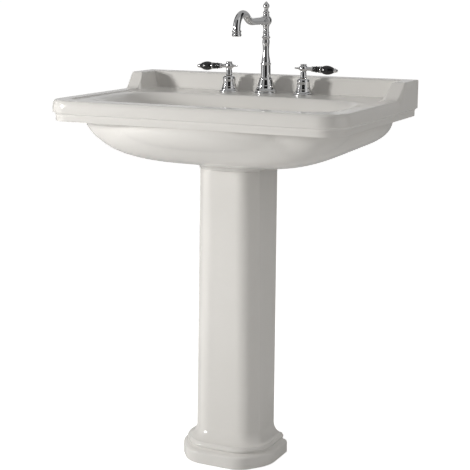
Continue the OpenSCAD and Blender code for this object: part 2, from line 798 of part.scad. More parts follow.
module cartridge() {
    difference() {
        turned([[0, barrel_floor_h], [9, barrel_floor_h], [9, barrel_top_h], [11.4, barrel_top_h],
            [11.4, barrel_top_h + 5], [6.4, barrel_top_h + 6], [6.4, lever_h - 25.5], [0, lever_h - 25.5]]);
        translate([0, 0, barrel_floor_h - 1]) cylinder(r = disc_r + slip, h = 9);
        cylinder(r = spindle_r + running, h = lever_h);
    }
}

module left_cartridge() {
    color("darkkhaki") at_left_tap() cartridge();
}

module right_cartridge() {
    color("darkkhaki") at_right_tap() cartridge();
}

module spindle() {
    foot = barrel_floor_h + 2 * disc_t + running;
    turned([[0, foot], [6.6, foot], [6.6, foot + 2.5], [spindle_r, foot + 2.5], [spindle_r, lever_h - 8],
        [0, lever_h - 8]]);
}

module left_spindle() {
    color("darkkhaki") at_left_tap() spindle();
}

module right_spindle() {
    color("darkkhaki") at_right_tap() spindle();
}

// The lever's hub: stem, ball, neck towards the grip and the small spike behind
module lever_hub() {
    skirt = lever_h - 24;
    difference() {
        union() {
            turned(concat(
                [[0, skirt], [8, skirt], [8.4, skirt + 1.5], [7.4, skirt + 3.5], [7.2, skirt + 13], [6.4, skirt + 15]],
                arc(0, lever_h, 10, -52, 48, 9),
                [[0, lever_h + 7.5]]));
            along_lever() turned([[0, 0], [4.6, 0], [4.6, 19], [5.4, 20.5], [6.6, 21.5], [6.6, 23.5],
                [5.4, neck_len], [0, neck_len]]);
            translate([0, 0, lever_h]) rotate([0, -90, 0])
                turned(concat([[0, 0], [4.2, 0], [4.2, 11], [2.6, 13], [1.7, 19]], arc(0, 21, 2.2, -40, 90, 4)));
        }
        translate([0, 0, skirt - 1]) cylinder(r = spindle_r + running, h = 17);
        cylinder(r = 2.8, h = lever_h * 2);
        along_lever() translate([0, 0, 12]) cylinder(r = rod_r + slip, h = 20);
    }
}

module left_lever_hub() {
    color("silver") at_left_tap() lever_hub();
}

module right_lever_hub() {
    color("silver") at_right_tap() lever_hub();
}

module cap_button() {
    h = lever_h + 7.5;
    turned([[0, lever_h - 8], [2.5, lever_h - 8], [2.5, h], [6.8, h], [7.6, h + 1], [7.6, h + 2.2], [6.4, h + 3], [0, h + 3.6]]);
}

module left_cap_button() {
    color("silver") at_left_tap() cap_button();
}

module right_cap_button() {
    color("silver") at_right_tap() cap_button();
}

// A sleeve on the lever's rod, with the outline of its outside
module sleeve(outline, from, to) {
    along_lever() difference() {
        turned(concat([[0, from]], outline, [[0, to]]));
        translate([0, 0, from - 1]) cylinder(r = rod_r + slip, h = to - from + 2);
    }
}

module grip_bead() {
    s = bead_start;
    sleeve(concat([[5.2, s]], arc(4.6, s + 2.4, 2.2, -70, 70, 4), [[5.4, s + 5]],
        arc(5, s + 8.2, 2.8, -75, 75, 5), [[6, s + 11.6], [7.4, s + 13.2], [7.8, s + 16], [7, ring_start]]),
        s, ring_start);
}

module left_grip_bead() {
    color("#1a1a1a") at_left_tap() grip_bead();
}

module right_grip_bead() {
    color("#1a1a1a") at_right_tap() grip_bead();
}

module grip_ring() {
    sleeve(concat([[6.4, ring_start]], arc(6.6, ring_start + ring_len / 2, 2, -70, 70, 4), [[6.4, grip_start]]),
        ring_start, grip_start);
}

module left_grip_ring() {
    color("silver") at_left_tap() grip_ring();
}

module right_grip_ring() {
    color("silver") at_right_tap() grip_ring();
}

module grip() {
    sleeve([for (i = [0:10]) let(t = i / 10, a = 180 * pow(t, 0.92))
        [mix(6.2, grip_r, pow(sin(a), 0.65)) - 1.6 * t, grip_start + grip_len * t]], grip_start, tip_start);
}

module left_grip() {
    color("#1a1a1a") at_left_tap() grip();
}

module right_grip() {
    color("#1a1a1a") at_right_tap() grip();
}

// The tip carries the rod that holds the sleeves against the hub
module lever_tip() {
    along_lever() turned(concat(
        [[0, 12 + slip], [rod_r, 12 + slip], [rod_r, tip_start], [5, tip_start]],
        arc(3.6, tip_start + 2.2, 2, -60, 60, 3),
        [[3.8, tip_start + 4.8], [4.2, tip_start + 6.4], [3.2, tip_start + 8.6], [0, tip_start + 10]]));
}

module left_lever_tip() {
    color("silver") at_left_tap() lever_tip();
}

module right_lever_tip() {
    color("silver") at_right_tap() lever_tip();
}

// ---------- Waste ----------

module waste_body() {
    color("silver") at_waste(seat_z) difference() {
        translate([0, 0, -waste_len]) cylinder(r = waste_tail_r, h = waste_len + seal_t);
        translate([0, 0, cartridge_seat_z - seat_z]) cylinder(r = waste_bore_r, h = 100);
        translate([0, 0, -waste_len - 1]) cylinder(r = waste_bore_r - 2, h = 100);
    }
    color("silver") at_waste(seat_z + seal_t) difference() {
        turned([[0, 0], [waste_flange_r - 0.4, 0], [waste_flange_r, 0.8], [waste_flange_r - 3, 2], [0, 2]]);
        translate([0, 0, -1]) cylinder(r = waste_bore_r, h = 10);
    }
}

module waste_seal() {
    color("dimgray") at_waste(seat_z) ring(waste_flange_r - 1, waste_tail_r + slip, seal_t);
}

module waste_plug_seal() {
    color("dimgray") at_waste(seat_z + seal_t + 2 + slip) ring(26, 18, plug_seal_t);
}

module waste_plug() {
    under = seal_t + 2 + slip + plug_seal_t;
    color("silver") at_waste(seat_z) turned([[0, -62], [stem_r, -62], [stem_r, under], [28, under], [28.6, under + 0.8],
        [28, under + 2], [20, under + 4], [10, under + 5.1], [0, under + 5.5]]);
}

// The guide that the plug's stem slides in, on three arms that rest on the ledge in the tail
module waste_cartridge() {
    color("gainsboro") at_waste(cartridge_seat_z) difference() {
        union() {
            translate([0, 0, -12]) cylinder(r = 8, h = 26);
            for (a = [90:120:330]) rotate([0, 0, a]) translate([0, -1.5, 0]) cube([waste_bore_r - slip, 3, 10]);
        }
        translate([0, 0, -20]) cylinder(r = stem_r + running, h = 50);
    }
}

module waste_washer() {
    color("dimgray") at_waste(foot_pocket_z - waste_washer_t) ring(30, waste_tail_r + slip, waste_washer_t);
}

module waste_backnut() {
    color("darkkhaki") at_waste(foot_pocket_z - waste_washer_t - waste_nut_h)
        hex_nut(31, waste_tail_r + slip, waste_nut_h);
}

// ---------- Bottle trap ----------

module trap_inlet_nut() {
    color("silver") at_waste(waste_bottom_z - 6) difference() {
        turned([[0, 0], [22, 0], [25, 2], [25, 18], [24, 20], [0, 20]]);
        translate([0, 0, 5]) cylinder(r = waste_tail_r + slip, h = 20);
        translate([0, 0, -1]) cylinder(r = pipe_r + slip, h = 30);
    }
}

// The tube hangs by its collar from the waste's end and dips into the cup
module trap_inlet_tube() {
    color("silver") at_waste(bottle_bottom_z + 8) difference() {
        union() {
            cylinder(r = pipe_r, h = waste_bottom_z - bottle_bottom_z - 8);
            translate([0, 0, waste_bottom_z - bottle_bottom_z - 9]) cylinder(r = waste_tail_r, h = 1);
        }
        translate([0, 0, -1]) cylinder(r = pipe_r - 1.2, h = 300);
    }
}

module trap_body() {
    color("silver") difference() {
        union() {
            at_waste(bottle_bottom_z + 12) cylinder(r = bottle_r, h = bottle_top_z - bottle_bottom_z - 12);
            at_waste(bottle_top_z) cylinder(r = pipe_r + 5, h = 9);
            at_waste(outlet_z) rotate([-90, 0, 0]) cylinder(r = pipe_r + 5, h = bottle_r + 14);
        }
        at_waste(bottle_bottom_z) cylinder(r = bottle_r - bottle_wall, h = bottle_top_z - bottle_bottom_z - bottle_wall);
        at_waste(bottle_bottom_z) cylinder(r = pipe_r + slip, h = 200);
        at_waste(outlet_z) rotate([-90, 0, 0]) cylinder(r = pipe_r - 1.2, h = bottle_r + 30);
        at_waste(outlet_z) translate([0, bottle_r + 2, 0]) rotate([-90, 0, 0]) cylinder(r = pipe_r + slip, h = 30);
    }
}

module trap_top_nut() {
    color("silver") at_waste(bottle_top_z + 1) difference() {
        turned([[0, 0], [24, 0], [25.5, 1.5], [25.5, 10], [22, 14], [0, 14]]);
        translate([0, 0, -1]) cylinder(r = pipe_r + 5 + slip, h = 9);
        cylinder(r = pipe_r + slip, h = 30);
    }
}

// The cup screws up into the bottle and closes it
module trap_cup() {
    color("silver") at_waste(bottle_bottom_z) difference() {
        turned(concat([[0, -6], [12, -6]], arc(bottle_r - 8, 2, 8, -90, 0, 4), [[bottle_r, 12], [bottle_r - bottle_wall - slip, 12],
            [bottle_r - bottle_wall - slip, 22], [0, 22]]));
        translate([0, 0, -2]) cylinder(r = bottle_r - 2 * bottle_wall - slip, h = 30);
    }
}

module trap_outlet_nut() {
    color("silver") at_waste(outlet_z) translate([0, bottle_r + 6, 0]) rotate([-90, 0, 0]) difference() {
        turned([[0, 0], [24, 0], [25.5, 1.5], [25.5, 10], [22, 14], [0, 14]]);
        translate([0, 0, -1]) cylinder(r = pipe_r + 5 + slip, h = 9);
        cylinder(r = pipe_r + slip, h = 30);
    }
}

basin();
pedestal();
spout_flange();
spout_column();
spout_hub();
spout_neck();
spout_outlet_ring();
aerator();
spout_finial();
spout_o_rings();
spout_gasket();
spout_washer();
spout_backnut();
feed_tee();
left_feed_pipe();
right_feed_pipe();
feed_pipe_nuts();
left_valve_body();
right_valve_body();
left_bell_cover();
right_bell_cover();
valve_gaskets();
valve_washers();
valve_backnuts();
ceramic_fixed_discs();
left_cartridge();
right_cartridge();
left_moving_disc();
right_moving_disc();
left_spindle();
right_spindle();
left_lever_hub();
right_lever_hub();
left_cap_button();
right_cap_button();
left_grip_bead();
right_grip_bead();
left_grip_ring();
right_grip_ring();
left_grip();
right_grip();
left_lever_tip();
right_lever_tip();
waste_body();
waste_seal();
waste_plug();
waste_plug_seal();
waste_cartridge();
waste_washer();
waste_backnut();
trap_inlet_nut();
trap_inlet_tube();
trap_body();
trap_top_nut();
trap_cup();
trap_outlet_nut();
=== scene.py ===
# %% [markdown]
# # A pedestal wash basin with a swan-neck tap
#
# This lesson dresses a finished engineering model. The frame gives every piece its place,
# its size and the body that it moves with. What is left for Blender is what an eye sees:
# soft ceramic edges, the roll of the bowl, polished turned metal and glossy black grips.
#
# All sizes below are written in millimetres, as a potter or a turner would say them, and
# become metres when a mesh is made. Positions come from the frame's own boxes.

import json
import math

import bmesh
import bpy
import numpy as np
from mathutils import Matrix, Vector

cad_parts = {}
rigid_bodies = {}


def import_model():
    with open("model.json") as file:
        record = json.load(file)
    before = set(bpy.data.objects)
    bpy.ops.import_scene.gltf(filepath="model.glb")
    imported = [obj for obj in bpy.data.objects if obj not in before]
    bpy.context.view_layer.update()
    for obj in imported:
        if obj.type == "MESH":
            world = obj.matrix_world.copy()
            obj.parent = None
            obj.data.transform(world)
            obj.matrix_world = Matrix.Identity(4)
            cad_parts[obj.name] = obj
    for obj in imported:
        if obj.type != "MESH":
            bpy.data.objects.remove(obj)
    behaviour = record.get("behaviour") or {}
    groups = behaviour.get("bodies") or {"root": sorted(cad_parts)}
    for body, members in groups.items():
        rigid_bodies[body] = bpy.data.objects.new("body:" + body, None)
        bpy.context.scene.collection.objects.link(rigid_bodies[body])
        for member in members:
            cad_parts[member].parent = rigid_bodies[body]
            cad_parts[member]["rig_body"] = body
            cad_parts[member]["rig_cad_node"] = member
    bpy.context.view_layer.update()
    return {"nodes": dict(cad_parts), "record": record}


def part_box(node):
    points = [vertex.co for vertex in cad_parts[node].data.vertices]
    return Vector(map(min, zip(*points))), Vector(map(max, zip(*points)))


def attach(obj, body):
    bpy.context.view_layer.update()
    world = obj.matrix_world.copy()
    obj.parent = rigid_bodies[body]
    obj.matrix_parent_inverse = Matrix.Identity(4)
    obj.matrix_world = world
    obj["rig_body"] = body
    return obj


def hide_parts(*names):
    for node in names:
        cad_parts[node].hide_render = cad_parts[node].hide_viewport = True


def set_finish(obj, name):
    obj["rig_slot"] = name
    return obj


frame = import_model()
nodes = frame["nodes"]
MM = 0.001

basin_lo, basin_hi = (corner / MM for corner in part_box("basin"))
flange_lo, flange_hi = (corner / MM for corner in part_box("spout_flange"))
valve_lo, valve_hi = (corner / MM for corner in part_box("right_bell_cover"))
seal_lo, seal_hi = (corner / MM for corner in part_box("waste_seal"))
pedestal_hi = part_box("pedestal")[1] / MM

HALF_W = basin_hi.x
FRONT = basin_lo.y
WALL = basin_hi.y
TOP_Z = basin_hi.z
DECK_Z = flange_lo.z
TAP_Y = (flange_lo.y + flange_hi.y) / 2
TAP_X = (valve_lo.x + valve_hi.x) / 2
WASTE_Y = (seal_lo.y + seal_hi.y) / 2
SEAT_Z = seal_lo.z
COLUMN_Z = pedestal_hi.z
print("basin: half width", round(HALF_W), "and deck at", round(DECK_Z))
print("taps:", round(TAP_X), "each side of the spout,", round(TAP_Y), "behind the middle")

# %% [markdown]
# ## Small tools
#
# A potter's template and a turner's gouge both follow a line with rounded corners. So the
# first tool rounds the corners of a line. It can also add a point just beside each end of a
# straight run: smooth shading then bends the light only at the corner, and the flat stays
# flat.

# %% Lines with rounded corners
def mix(a, b, t):
    return a + (b - a) * t


def ease(low, high, value):
    t = np.clip((value - low) / (high - low), 0, 1)
    return t * t * (3 - 2 * t)


def arc(cx, cy, r, start, end, steps=8):
    turns = [math.radians(mix(start, end, i / steps)) for i in range(steps + 1)]
    return [(cx + r * math.cos(a), cy + r * math.sin(a)) for a in turns]


def soft_line(corners, radii, steps=5, beside=0):
    corners = [np.array(c, float) for c in corners]
    if not hasattr(radii, "__len__"):
        radii = [radii] * (len(corners) - 2)
    line = [corners[0]]
    for before, corner, after, r in zip(corners, corners[1:], corners[2:], radii):
        back = before - corner
        ahead = after - corner
        room = 0.45 * min(np.linalg.norm(back), np.linalg.norm(ahead))
        back = back / np.linalg.norm(back)
        ahead = ahead / np.linalg.norm(ahead)
        half = math.acos(float(np.clip(back @ ahead, -1, 1))) / 2
        if r <= 0 or half > 1.5:
            line.append(corner)
            continue
        reach = min(r / math.tan(half), room)
        r = reach * math.tan(half)
        middle = corner + (back + ahead) / np.linalg.norm(back + ahead) * r / math.sin(half)
        a = corner + back * reach - middle
        b = corner + ahead * reach - middle
        start = math.atan2(a[1], a[0])
        sweep = math.atan2(a[0] * b[1] - a[1] * b[0], a @ b)
        if beside:
            line.append(corner + back * (reach + beside))
        for i in range(steps + 1):
            turn = start + sweep * i / steps
            line.append(middle + r * np.array([math.cos(turn), math.sin(turn)]))
        if beside:
            line.append(corner + ahead * (reach + beside))
    line.append(corners[-1])
    return line


square_corner = soft_line([(0, 0), (10, 0), (10, 10)], 2)
print("a square corner, once rounded, has", len(square_corner), "points")

# %% [markdown]
# Most pieces here are a stack of rings closed into a skin: ring after ring with the same
# number of points, and a row of faces between each two. That gives long even rows of
# faces, and glossy surfaces show no stray crease. The mesh's doubles are merged and its
# faces turned outwards as it is made. Each finished piece then settles on the body that
# carries it, takes its slot, and stands for the frame's plain node.

# %% Skins and pieces
stood_for = set()


def smooth_by_angle(mesh, degrees):
    mesh.shade_smooth()
    mesh.set_sharp_from_angle(angle=math.radians(degrees))


def make_piece(name, points, faces, shade_angle=34):
    mesh = bpy.data.meshes.new(name)
    mesh.from_pydata([tuple(p) for p in points], [], faces)
    work = bmesh.new()
    work.from_mesh(mesh)
    bmesh.ops.remove_doubles(work, verts=work.verts, dist=1e-7)
    bmesh.ops.recalc_face_normals(work, faces=work.faces)
    work.to_mesh(mesh)
    work.free()
    smooth_by_angle(mesh, shade_angle)
    piece = bpy.data.objects.new(name, mesh)
    bpy.context.scene.collection.objects.link(piece)
    return piece


def skin(rings, closed=False):
    count = len(rings[0])
    rows = [[k * count + i for i in range(count)] for k in range(len(rings))]
    pairs = list(zip(rows, rows[1:])) + ([(rows[-1], rows[0])] if closed else [])
    faces = [(a[i], a[(i + 1) % count], b[(i + 1) % count], b[i])
             for a, b in pairs for i in range(count)]
    return np.concatenate(rings), faces


def triangles(piece):
    return sum(len(face.vertices) - 2 for face in piece.data.polygons)


def settle(piece, body, slot, *names):
    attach(piece, body)
    if names:
        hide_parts(*names)
        stood_for.update(names)
    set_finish(piece, slot)
    return piece


print("tools: rounded lines, skins and pieces")

# %% [markdown]
# ## Finishes
#
# A finish is more than a colour. Glaze pools a little and is never quite flat; polished
# chrome carries the faintest haze; brass keeps the turner's lines; rubber is dull and
# dusty. Each finish mixes two close colours by a noise, lets the same kind of noise vary
# the gloss, and bends the surface a touch with a bump. One recipe with named numbers keeps
# the eight of them easy to compare. They are made first, because node trees use them.

# %% A recipe for finishes
def add(tree, kind_of, **settings):
    node = tree.nodes.new(kind_of)
    for key, value in settings.items():
        setattr(node, key, value)
    return node


def join(tree, source, out, target, into):
    tree.links.new(source.outputs[out], target.inputs[into])


def finish(name, colour, other, metal, gloss, spread, scale, bump, bump_scale, **sockets):
    material = bpy.data.materials.new(name)
    material.use_nodes = True
    tree = material.node_tree
    shader = tree.nodes["Principled BSDF"]
    shader.inputs["Metallic"].default_value = metal
    for socket, value in sockets.items():
        shader.inputs[socket.replace("_", " ")].default_value = value
    place_of = add(tree, "ShaderNodeTexCoord")
    cloud = add(tree, "ShaderNodeTexNoise")
    cloud.inputs["Scale"].default_value = scale
    cloud.inputs["Detail"].default_value = 4
    join(tree, place_of, "Object", cloud, "Vector")
    tint = add(tree, "ShaderNodeMix", data_type="RGBA")
    tint.inputs["A"].default_value = (*colour, 1)
    tint.inputs["B"].default_value = (*other, 1)
    join(tree, cloud, "Fac", tint, "Factor")
    join(tree, tint, "Result", shader, "Base Color")
    haze = add(tree, "ShaderNodeMapRange")
    haze.inputs["From Min"].default_value = 0.3
    haze.inputs["From Max"].default_value = 0.7
    haze.inputs["To Min"].default_value = gloss
    haze.inputs["To Max"].default_value = gloss + spread
    join(tree, cloud, "Fac", haze, "Value")
    join(tree, haze, "Result", shader, "Roughness")
    grain = add(tree, "ShaderNodeTexNoise")
    grain.inputs["Scale"].default_value = bump_scale
    grain.inputs["Detail"].default_value = 3
    join(tree, place_of, "Object", grain, "Vector")
    dent = add(tree, "ShaderNodeBump")
    dent.inputs["Strength"].default_value = bump
    dent.inputs["Distance"].default_value = MM
    join(tree, grain, "Fac", dent, "Height")
    join(tree, dent, "Normal", shader, "Normal")
    return material


print("finish recipe: colour, gloss and bump from noises")

# %% [markdown]
# The colours are close pairs, never pure white or pure black. The glaze is a warm white,
# and glossy enough for a highlight with a soft edge. The grips are black lacquer, so they
# wear a clear coat.

# %% The eight finishes
finishes = {
    "glazed_ceramic": finish("glaze", (0.80, 0.785, 0.755), (0.815, 0.80, 0.775), metal=0,
                             gloss=0.14, spread=0.05, scale=6, bump=0.25, bump_scale=9, IOR=1.5),
    "chrome": finish("chrome_plate", (0.80, 0.80, 0.81), (0.84, 0.84, 0.84), metal=1,
                     gloss=0.045, spread=0.03, scale=60, bump=0.02, bump_scale=120),
    "black_grip": finish("black_gloss", (0.010, 0.010, 0.011), (0.016, 0.016, 0.017), metal=0,
                         gloss=0.12, spread=0.06, scale=80, bump=0.03, bump_scale=200,
                         IOR=1.5, Coat_Weight=0.6, Coat_Roughness=0.05),
    "brass": finish("machined_brass", (0.62, 0.46, 0.19), (0.72, 0.56, 0.28), metal=1,
                    gloss=0.28, spread=0.14, scale=90, bump=0.08, bump_scale=260),
    "copper": finish("drawn_copper", (0.66, 0.35, 0.22), (0.78, 0.45, 0.30), metal=1,
                     gloss=0.24, spread=0.16, scale=70, bump=0.06, bump_scale=180),
    "seal_rubber": finish("seal_rubber", (0.022, 0.022, 0.023), (0.04, 0.04, 0.04), metal=0,
                          gloss=0.6, spread=0.2, scale=120, bump=0.25, bump_scale=500),
    "white_plastic": finish("moulded_plastic", (0.80, 0.80, 0.79), (0.84, 0.84, 0.83), metal=0,
                            gloss=0.35, spread=0.12, scale=60, bump=0.08, bump_scale=400),
    "disc_ceramic": finish("ground_ceramic", (0.82, 0.81, 0.78), (0.86, 0.85, 0.83), metal=0,
                           gloss=0.25, spread=0.1, scale=90, bump=0.03, bump_scale=600),
}
print("finishes:", len(finishes))

# %% [markdown]
# ## The wash basin
#
# The real basin is cast in one mould: a moulded band, a flat rim, a deck for the tap, an
# upstand with two coved ears, and a bowl that rolls down without an edge. A stack of
# Booleans would leave hard seams between these. Instead the whole basin is one skin of
# rings. Each ring runs once round the basin with the same stations, out over the band,
# across the top, down the bowl, through the waste hole and back along the underside.
#
# First come the stations, from the middle of the front round to the middle of the back.
# They lie close together where the ears rise and in the corners.

# %% Stations round the basin
DECK_DROP = 3
RIM_Z = DECK_Z + DECK_DROP
CORNER_R = 60
SMALLEST_R = 24.0
EAR_SPAN = (WALL - 158, WALL - 84)
REAR_SPAN = (WALL - 165, WALL - 140)

front_run = [("front", x) for x in np.linspace(0, HALF_W - CORNER_R, 26)[:-1]]
corner_run = [("corner", a) for a in np.linspace(-90, 0, 19)]
side_low = np.linspace(FRONT + CORNER_R, EAR_SPAN[0], 27)[1:-1]
side_ear = np.linspace(*EAR_SPAN, 38)
side_high = np.linspace(EAR_SPAN[1], WALL, 16)[1:]
side_run = [("side", y) for y in np.concatenate([side_low, side_ear, side_high])]
back_run = [("back", x) for x in np.linspace(HALF_W, 0, 40)[1:]]
stations = front_run + corner_run + side_run + back_run
kind = np.array([k for k, value in stations])
place = np.array([value for k, value in stations])
half_count = len(stations)

is_front = kind == "front"
is_corner = kind == "corner"
is_side = kind == "side"
is_back = kind == "back"
rear = np.where(is_back, 1.0, np.where(is_side, ease(*REAR_SPAN, place), 0.0))
print("stations round the basin:", 2 * (half_count - 1))

# %% [markdown]
# A ring needs only its right half, because the basin is the same on both sides. The outline
# moves in from the basin's edge by one distance at the sides, one in front and one behind,
# and its corner shrinks with it.

# %% Outlines and whole rings
def whole_ring(x, y, z):
    half = np.stack([x, y, np.broadcast_to(np.asarray(z, float), x.shape)], axis=1)
    other = half[-2:0:-1] * np.array([-1, 1, 1])
    return np.concatenate([half, other])


def outline(side, front, back):
    side = np.broadcast_to(np.asarray(side, float), place.shape)
    r = max(CORNER_R - float(side[is_corner][0]), SMALLEST_R)
    edge = HALF_W - side
    low_end = FRONT + front + r
    x = np.zeros(half_count)
    y = np.zeros(half_count)
    x[is_front] = place[is_front] / (HALF_W - CORNER_R) * (edge[is_front] - r)
    y[is_front] = FRONT + front
    turn = np.radians(place[is_corner])
    x[is_corner] = edge[is_corner] - r + r * np.cos(turn)
    y[is_corner] = low_end + r * np.sin(turn)
    x[is_side] = edge[is_side]
    y[is_side] = np.interp(place[is_side], [FRONT + CORNER_R, *EAR_SPAN, WALL],
                           [low_end, *EAR_SPAN, WALL - back])
    x[is_back] = place[is_back] / HALF_W * edge[is_back]
    y[is_back] = WALL - back
    return x, y


edge_x, edge_y = outline(0, 0, 0)
print("outline:", round(2 * edge_x.max()), "wide and", round(edge_y.max() - edge_y.min()), "deep")

# %% [markdown]
# The top of the basin is a height above each point of the plan. The deck lies a little
# below the rim. The upstand and the ears are rising lines with rounded corners. Two soft
# rules join them: one keeps the lower of two slopes, the other the higher of two, and both
# leave a level top exactly level.

# %% Heights of the top
PANEL_HALF_W = HALF_W - 37
PANEL_FRONT = FRONT + 45
PANEL_R = 28
PANEL_STEP = 3.2
UPSTAND_RISE = 42
EAR_RISE = UPSTAND_RISE - DECK_DROP


def rising_line(start, foot, top, end, rise, radii, steps=8):
    return soft_line([(start, 0), (foot, 0), (top, rise), (end, rise)], radii, steps)


upstand_line = rising_line(WALL - 100, WALL - 44.2, WALL - 35.4, WALL + 5, UPSTAND_RISE, [3.2, 8.5])
ear_side_line = rising_line(HALF_W - 75, HALF_W - 45.5, HALF_W - 30.5, HALF_W + 5, EAR_RISE, [10, 8])
ear_front_line = rising_line(WALL - 210, WALL - 133, WALL - 96.6, WALL + 5, EAR_RISE, [24, 11], 10)


def climb(line, value):
    line = np.array(line)
    return np.interp(value, line[:, 0], line[:, 1]) / line[-1, 1]


def lower_of(a, b, sharp=3.0):
    a = np.clip(a, 1e-6, 1 - 1e-9)
    b = np.clip(b, 1e-6, 1 - 1e-9)
    joined = (((1 - a) / a) ** sharp + ((1 - b) / b) ** sharp) ** (1 / sharp)
    return 1 / (1 + joined)


def higher_of(a, b):
    return 1 - lower_of(1 - a, 1 - b)


def panel_depth(x, y):
    dx = np.abs(x) - (PANEL_HALF_W - PANEL_R)
    dy = (PANEL_FRONT + PANEL_R) - y
    outside = np.hypot(np.maximum(dx, 0), np.maximum(dy, 0)) + np.minimum(np.maximum(dx, dy), 0)
    return (RIM_Z - DECK_Z) * ease(-PANEL_STEP, PANEL_STEP, PANEL_R - outside)


def top_height(x, y):
    base = RIM_Z - panel_depth(x, y)
    ear = lower_of(climb(ear_side_line, np.abs(x)), climb(ear_front_line, y))
    rise = higher_of(ear, climb(upstand_line, y))
    return base + (TOP_Z - base) * rise


for spot, spot_y in (("rim", FRONT + 30), ("deck", TAP_Y), ("upstand", WALL - 5)):
    print("height of the", spot, round(float(top_height(0.0, spot_y)), 1))

# %% [markdown]
# The band's edge is a template line, from the ledge under it, over a cove, up the face and
# round the top edge. The face swells a little, like a cushion, into a wide soft edge. The
# edge follows the ear upwards, and is tight there.

# %% Rings of the band
LEDGE_Z = RIM_Z - 48
LEDGE_IN = 9
COVE_R = 7
FACE_TOP = LEDGE_Z + 24
EDGE_IN = 8.5
EDGE_POWER = 2.4
EAR_EDGE_R = 3.0
BACK_IN = 2

band = soft_line([(LEDGE_IN, LEDGE_Z), (COVE_R, LEDGE_Z), (COVE_R, LEDGE_Z + 6)], [2], 3)
band += [(COVE_R, LEDGE_Z + 7), (COVE_R, LEDGE_Z + 11)]
band += arc(0, LEDGE_Z + 12, COVE_R, 0, 76, 7)
band += arc(1.2, LEDGE_Z + 20.2, 1.2, 240, 180, 3)
band += [(0, LEDGE_Z + 21.2), (0, FACE_TOP)]
rings = []
for inset, z in band[1:]:
    x, y = outline(inset, inset, 0)
    rings.append(whole_ring(x, y, z))

lift = np.where(is_side, climb(ear_front_line, edge_y), np.where(is_back, 1.0, 0.0))
edge_in = mix(EDGE_IN, EAR_EDGE_R, lift)
for turn in np.radians(np.linspace(0, 90, 18)[1:]):
    soft = 1 - abs(math.cos(turn)) ** (2 / EDGE_POWER)
    tight = 1 - math.cos(turn)
    x, y = outline(edge_in * mix(soft, tight, lift), EDGE_IN * soft, BACK_IN * tight)
    rim_side = mix(FACE_TOP, RIM_Z, math.sin(turn) ** (2 / EDGE_POWER))
    ear_side = TOP_Z - EAR_EDGE_R + EAR_EDGE_R * math.sin(turn)
    rings.append(whole_ring(x, y, mix(rim_side, ear_side, lift)))
print("rings of the band:", len(rings))

# %% [markdown]
# From the edge the rings go in over the flat rim, and then down the small step to the deck.
# They lie close together on the step. At the back they stay wide of it, behind the ears.

# %% Rings of the rim and the deck
RIM_IN = 24
DECK_FRONT_IN = 46.5
DECK_SIDE_IN = 41
DECK_BACK_IN = 51

for share in (0.04, 0.35, 0.7, 0.95):
    x, y = outline(mix(edge_in, RIM_IN, share), mix(EDGE_IN, RIM_IN, share),
                   mix(BACK_IN, RIM_IN, share))
    rings.append(whole_ring(x, y, top_height(x, y)))
for share in np.linspace(0, 1, 34):
    deck_back = mix(RIM_IN, DECK_BACK_IN, share)
    side = mix(mix(RIM_IN, DECK_SIDE_IN, share), deck_back, rear)
    x, y = outline(side, mix(RIM_IN, DECK_FRONT_IN, share), deck_back)
    rings.append(whole_ring(x, y, top_height(x, y)))
panel_x, panel_y = x, y
print("rings to the deck:", len(rings))

# %% [markdown]
# The bowl's mouth is a soft oval, almost a rectangle. Each lower ring is a little smaller
# and rounder, and its height falls along half a cosine wave, so that it leaves the deck
# level and arrives level at the floor. Around the waste there is a shallow seat.

# %% Rings of the bowl
MOUTH_HALF = (PANEL_HALF_W - 5, 150.5)
MOUTH_MID = PANEL_FRONT + 2 + MOUTH_HALF[1]
MOUTH_POWER = 3.8
FLOOR_POWER = 2.4
FLOOR_SHARE = 0.4
FLOOR_BACK = 23
FLOOR_Z = SEAT_Z + 2.5

angle = np.arctan2((edge_y - MOUTH_MID) / MOUTH_HALF[1], edge_x / MOUTH_HALF[0])


def oval(size, middle, power):
    k = (np.abs(np.cos(angle)) ** power + np.abs(np.sin(angle)) ** power) ** (-1 / power)
    return MOUTH_HALF[0] * size * k * np.cos(angle), middle + MOUTH_HALF[1] * size * k * np.sin(angle)


mouth_x, mouth_y = oval(1, MOUTH_MID, MOUTH_POWER)
for share in np.linspace(0, 1, 14)[1:]:
    x = mix(panel_x, mouth_x, share)
    y = mix(panel_y, mouth_y, share)
    rings.append(whole_ring(x, y, top_height(x, y)))
for step in np.linspace(0, 1, 40)[1:]:
    size = mix(1, FLOOR_SHARE, step)
    x, y = oval(size, MOUTH_MID + FLOOR_BACK * step, mix(MOUTH_POWER, FLOOR_POWER, step))
    fall = (1 - math.cos(math.pi * step)) / 2
    rings.append(whole_ring(x, y, top_height(x, y) - (DECK_Z - FLOOR_Z) * fall))
print("rings to the floor of the bowl:", len(rings))

# %% [markdown]
# The bowl's last ring is an oval, and the waste hole is round. A few rings on the level
# floor change the one into the other. Then the seat steps down, and the hole goes through.

# %% Rings of the waste seat
SEAT_EDGE_R = 36
UNDER_SEAT_Z = SEAT_Z - 15

hole_turn = np.arctan2(y - WASTE_Y, x)
seat = [(SEAT_EDGE_R, FLOOR_Z), (33.4, FLOOR_Z), (32.5, FLOOR_Z - 0.3), (32.2, FLOOR_Z - 1),
        (32.2, SEAT_Z + 0.3), (31.9, SEAT_Z), (24, SEAT_Z), (23, SEAT_Z - 1),
        (23, UNDER_SEAT_Z + 1), (23.5, UNDER_SEAT_Z)]
for share in np.linspace(0, 1, 8)[1:-1]:
    rings.append(whole_ring(mix(x, SEAT_EDGE_R * np.cos(hole_turn), share),
                            mix(y, WASTE_Y + SEAT_EDGE_R * np.sin(hole_turn), share), FLOOR_Z))
for r, z in seat:
    rings.append(whole_ring(r * np.cos(hole_turn), WASTE_Y + r * np.sin(hole_turn), z))
print("rings down to the waste:", len(rings))

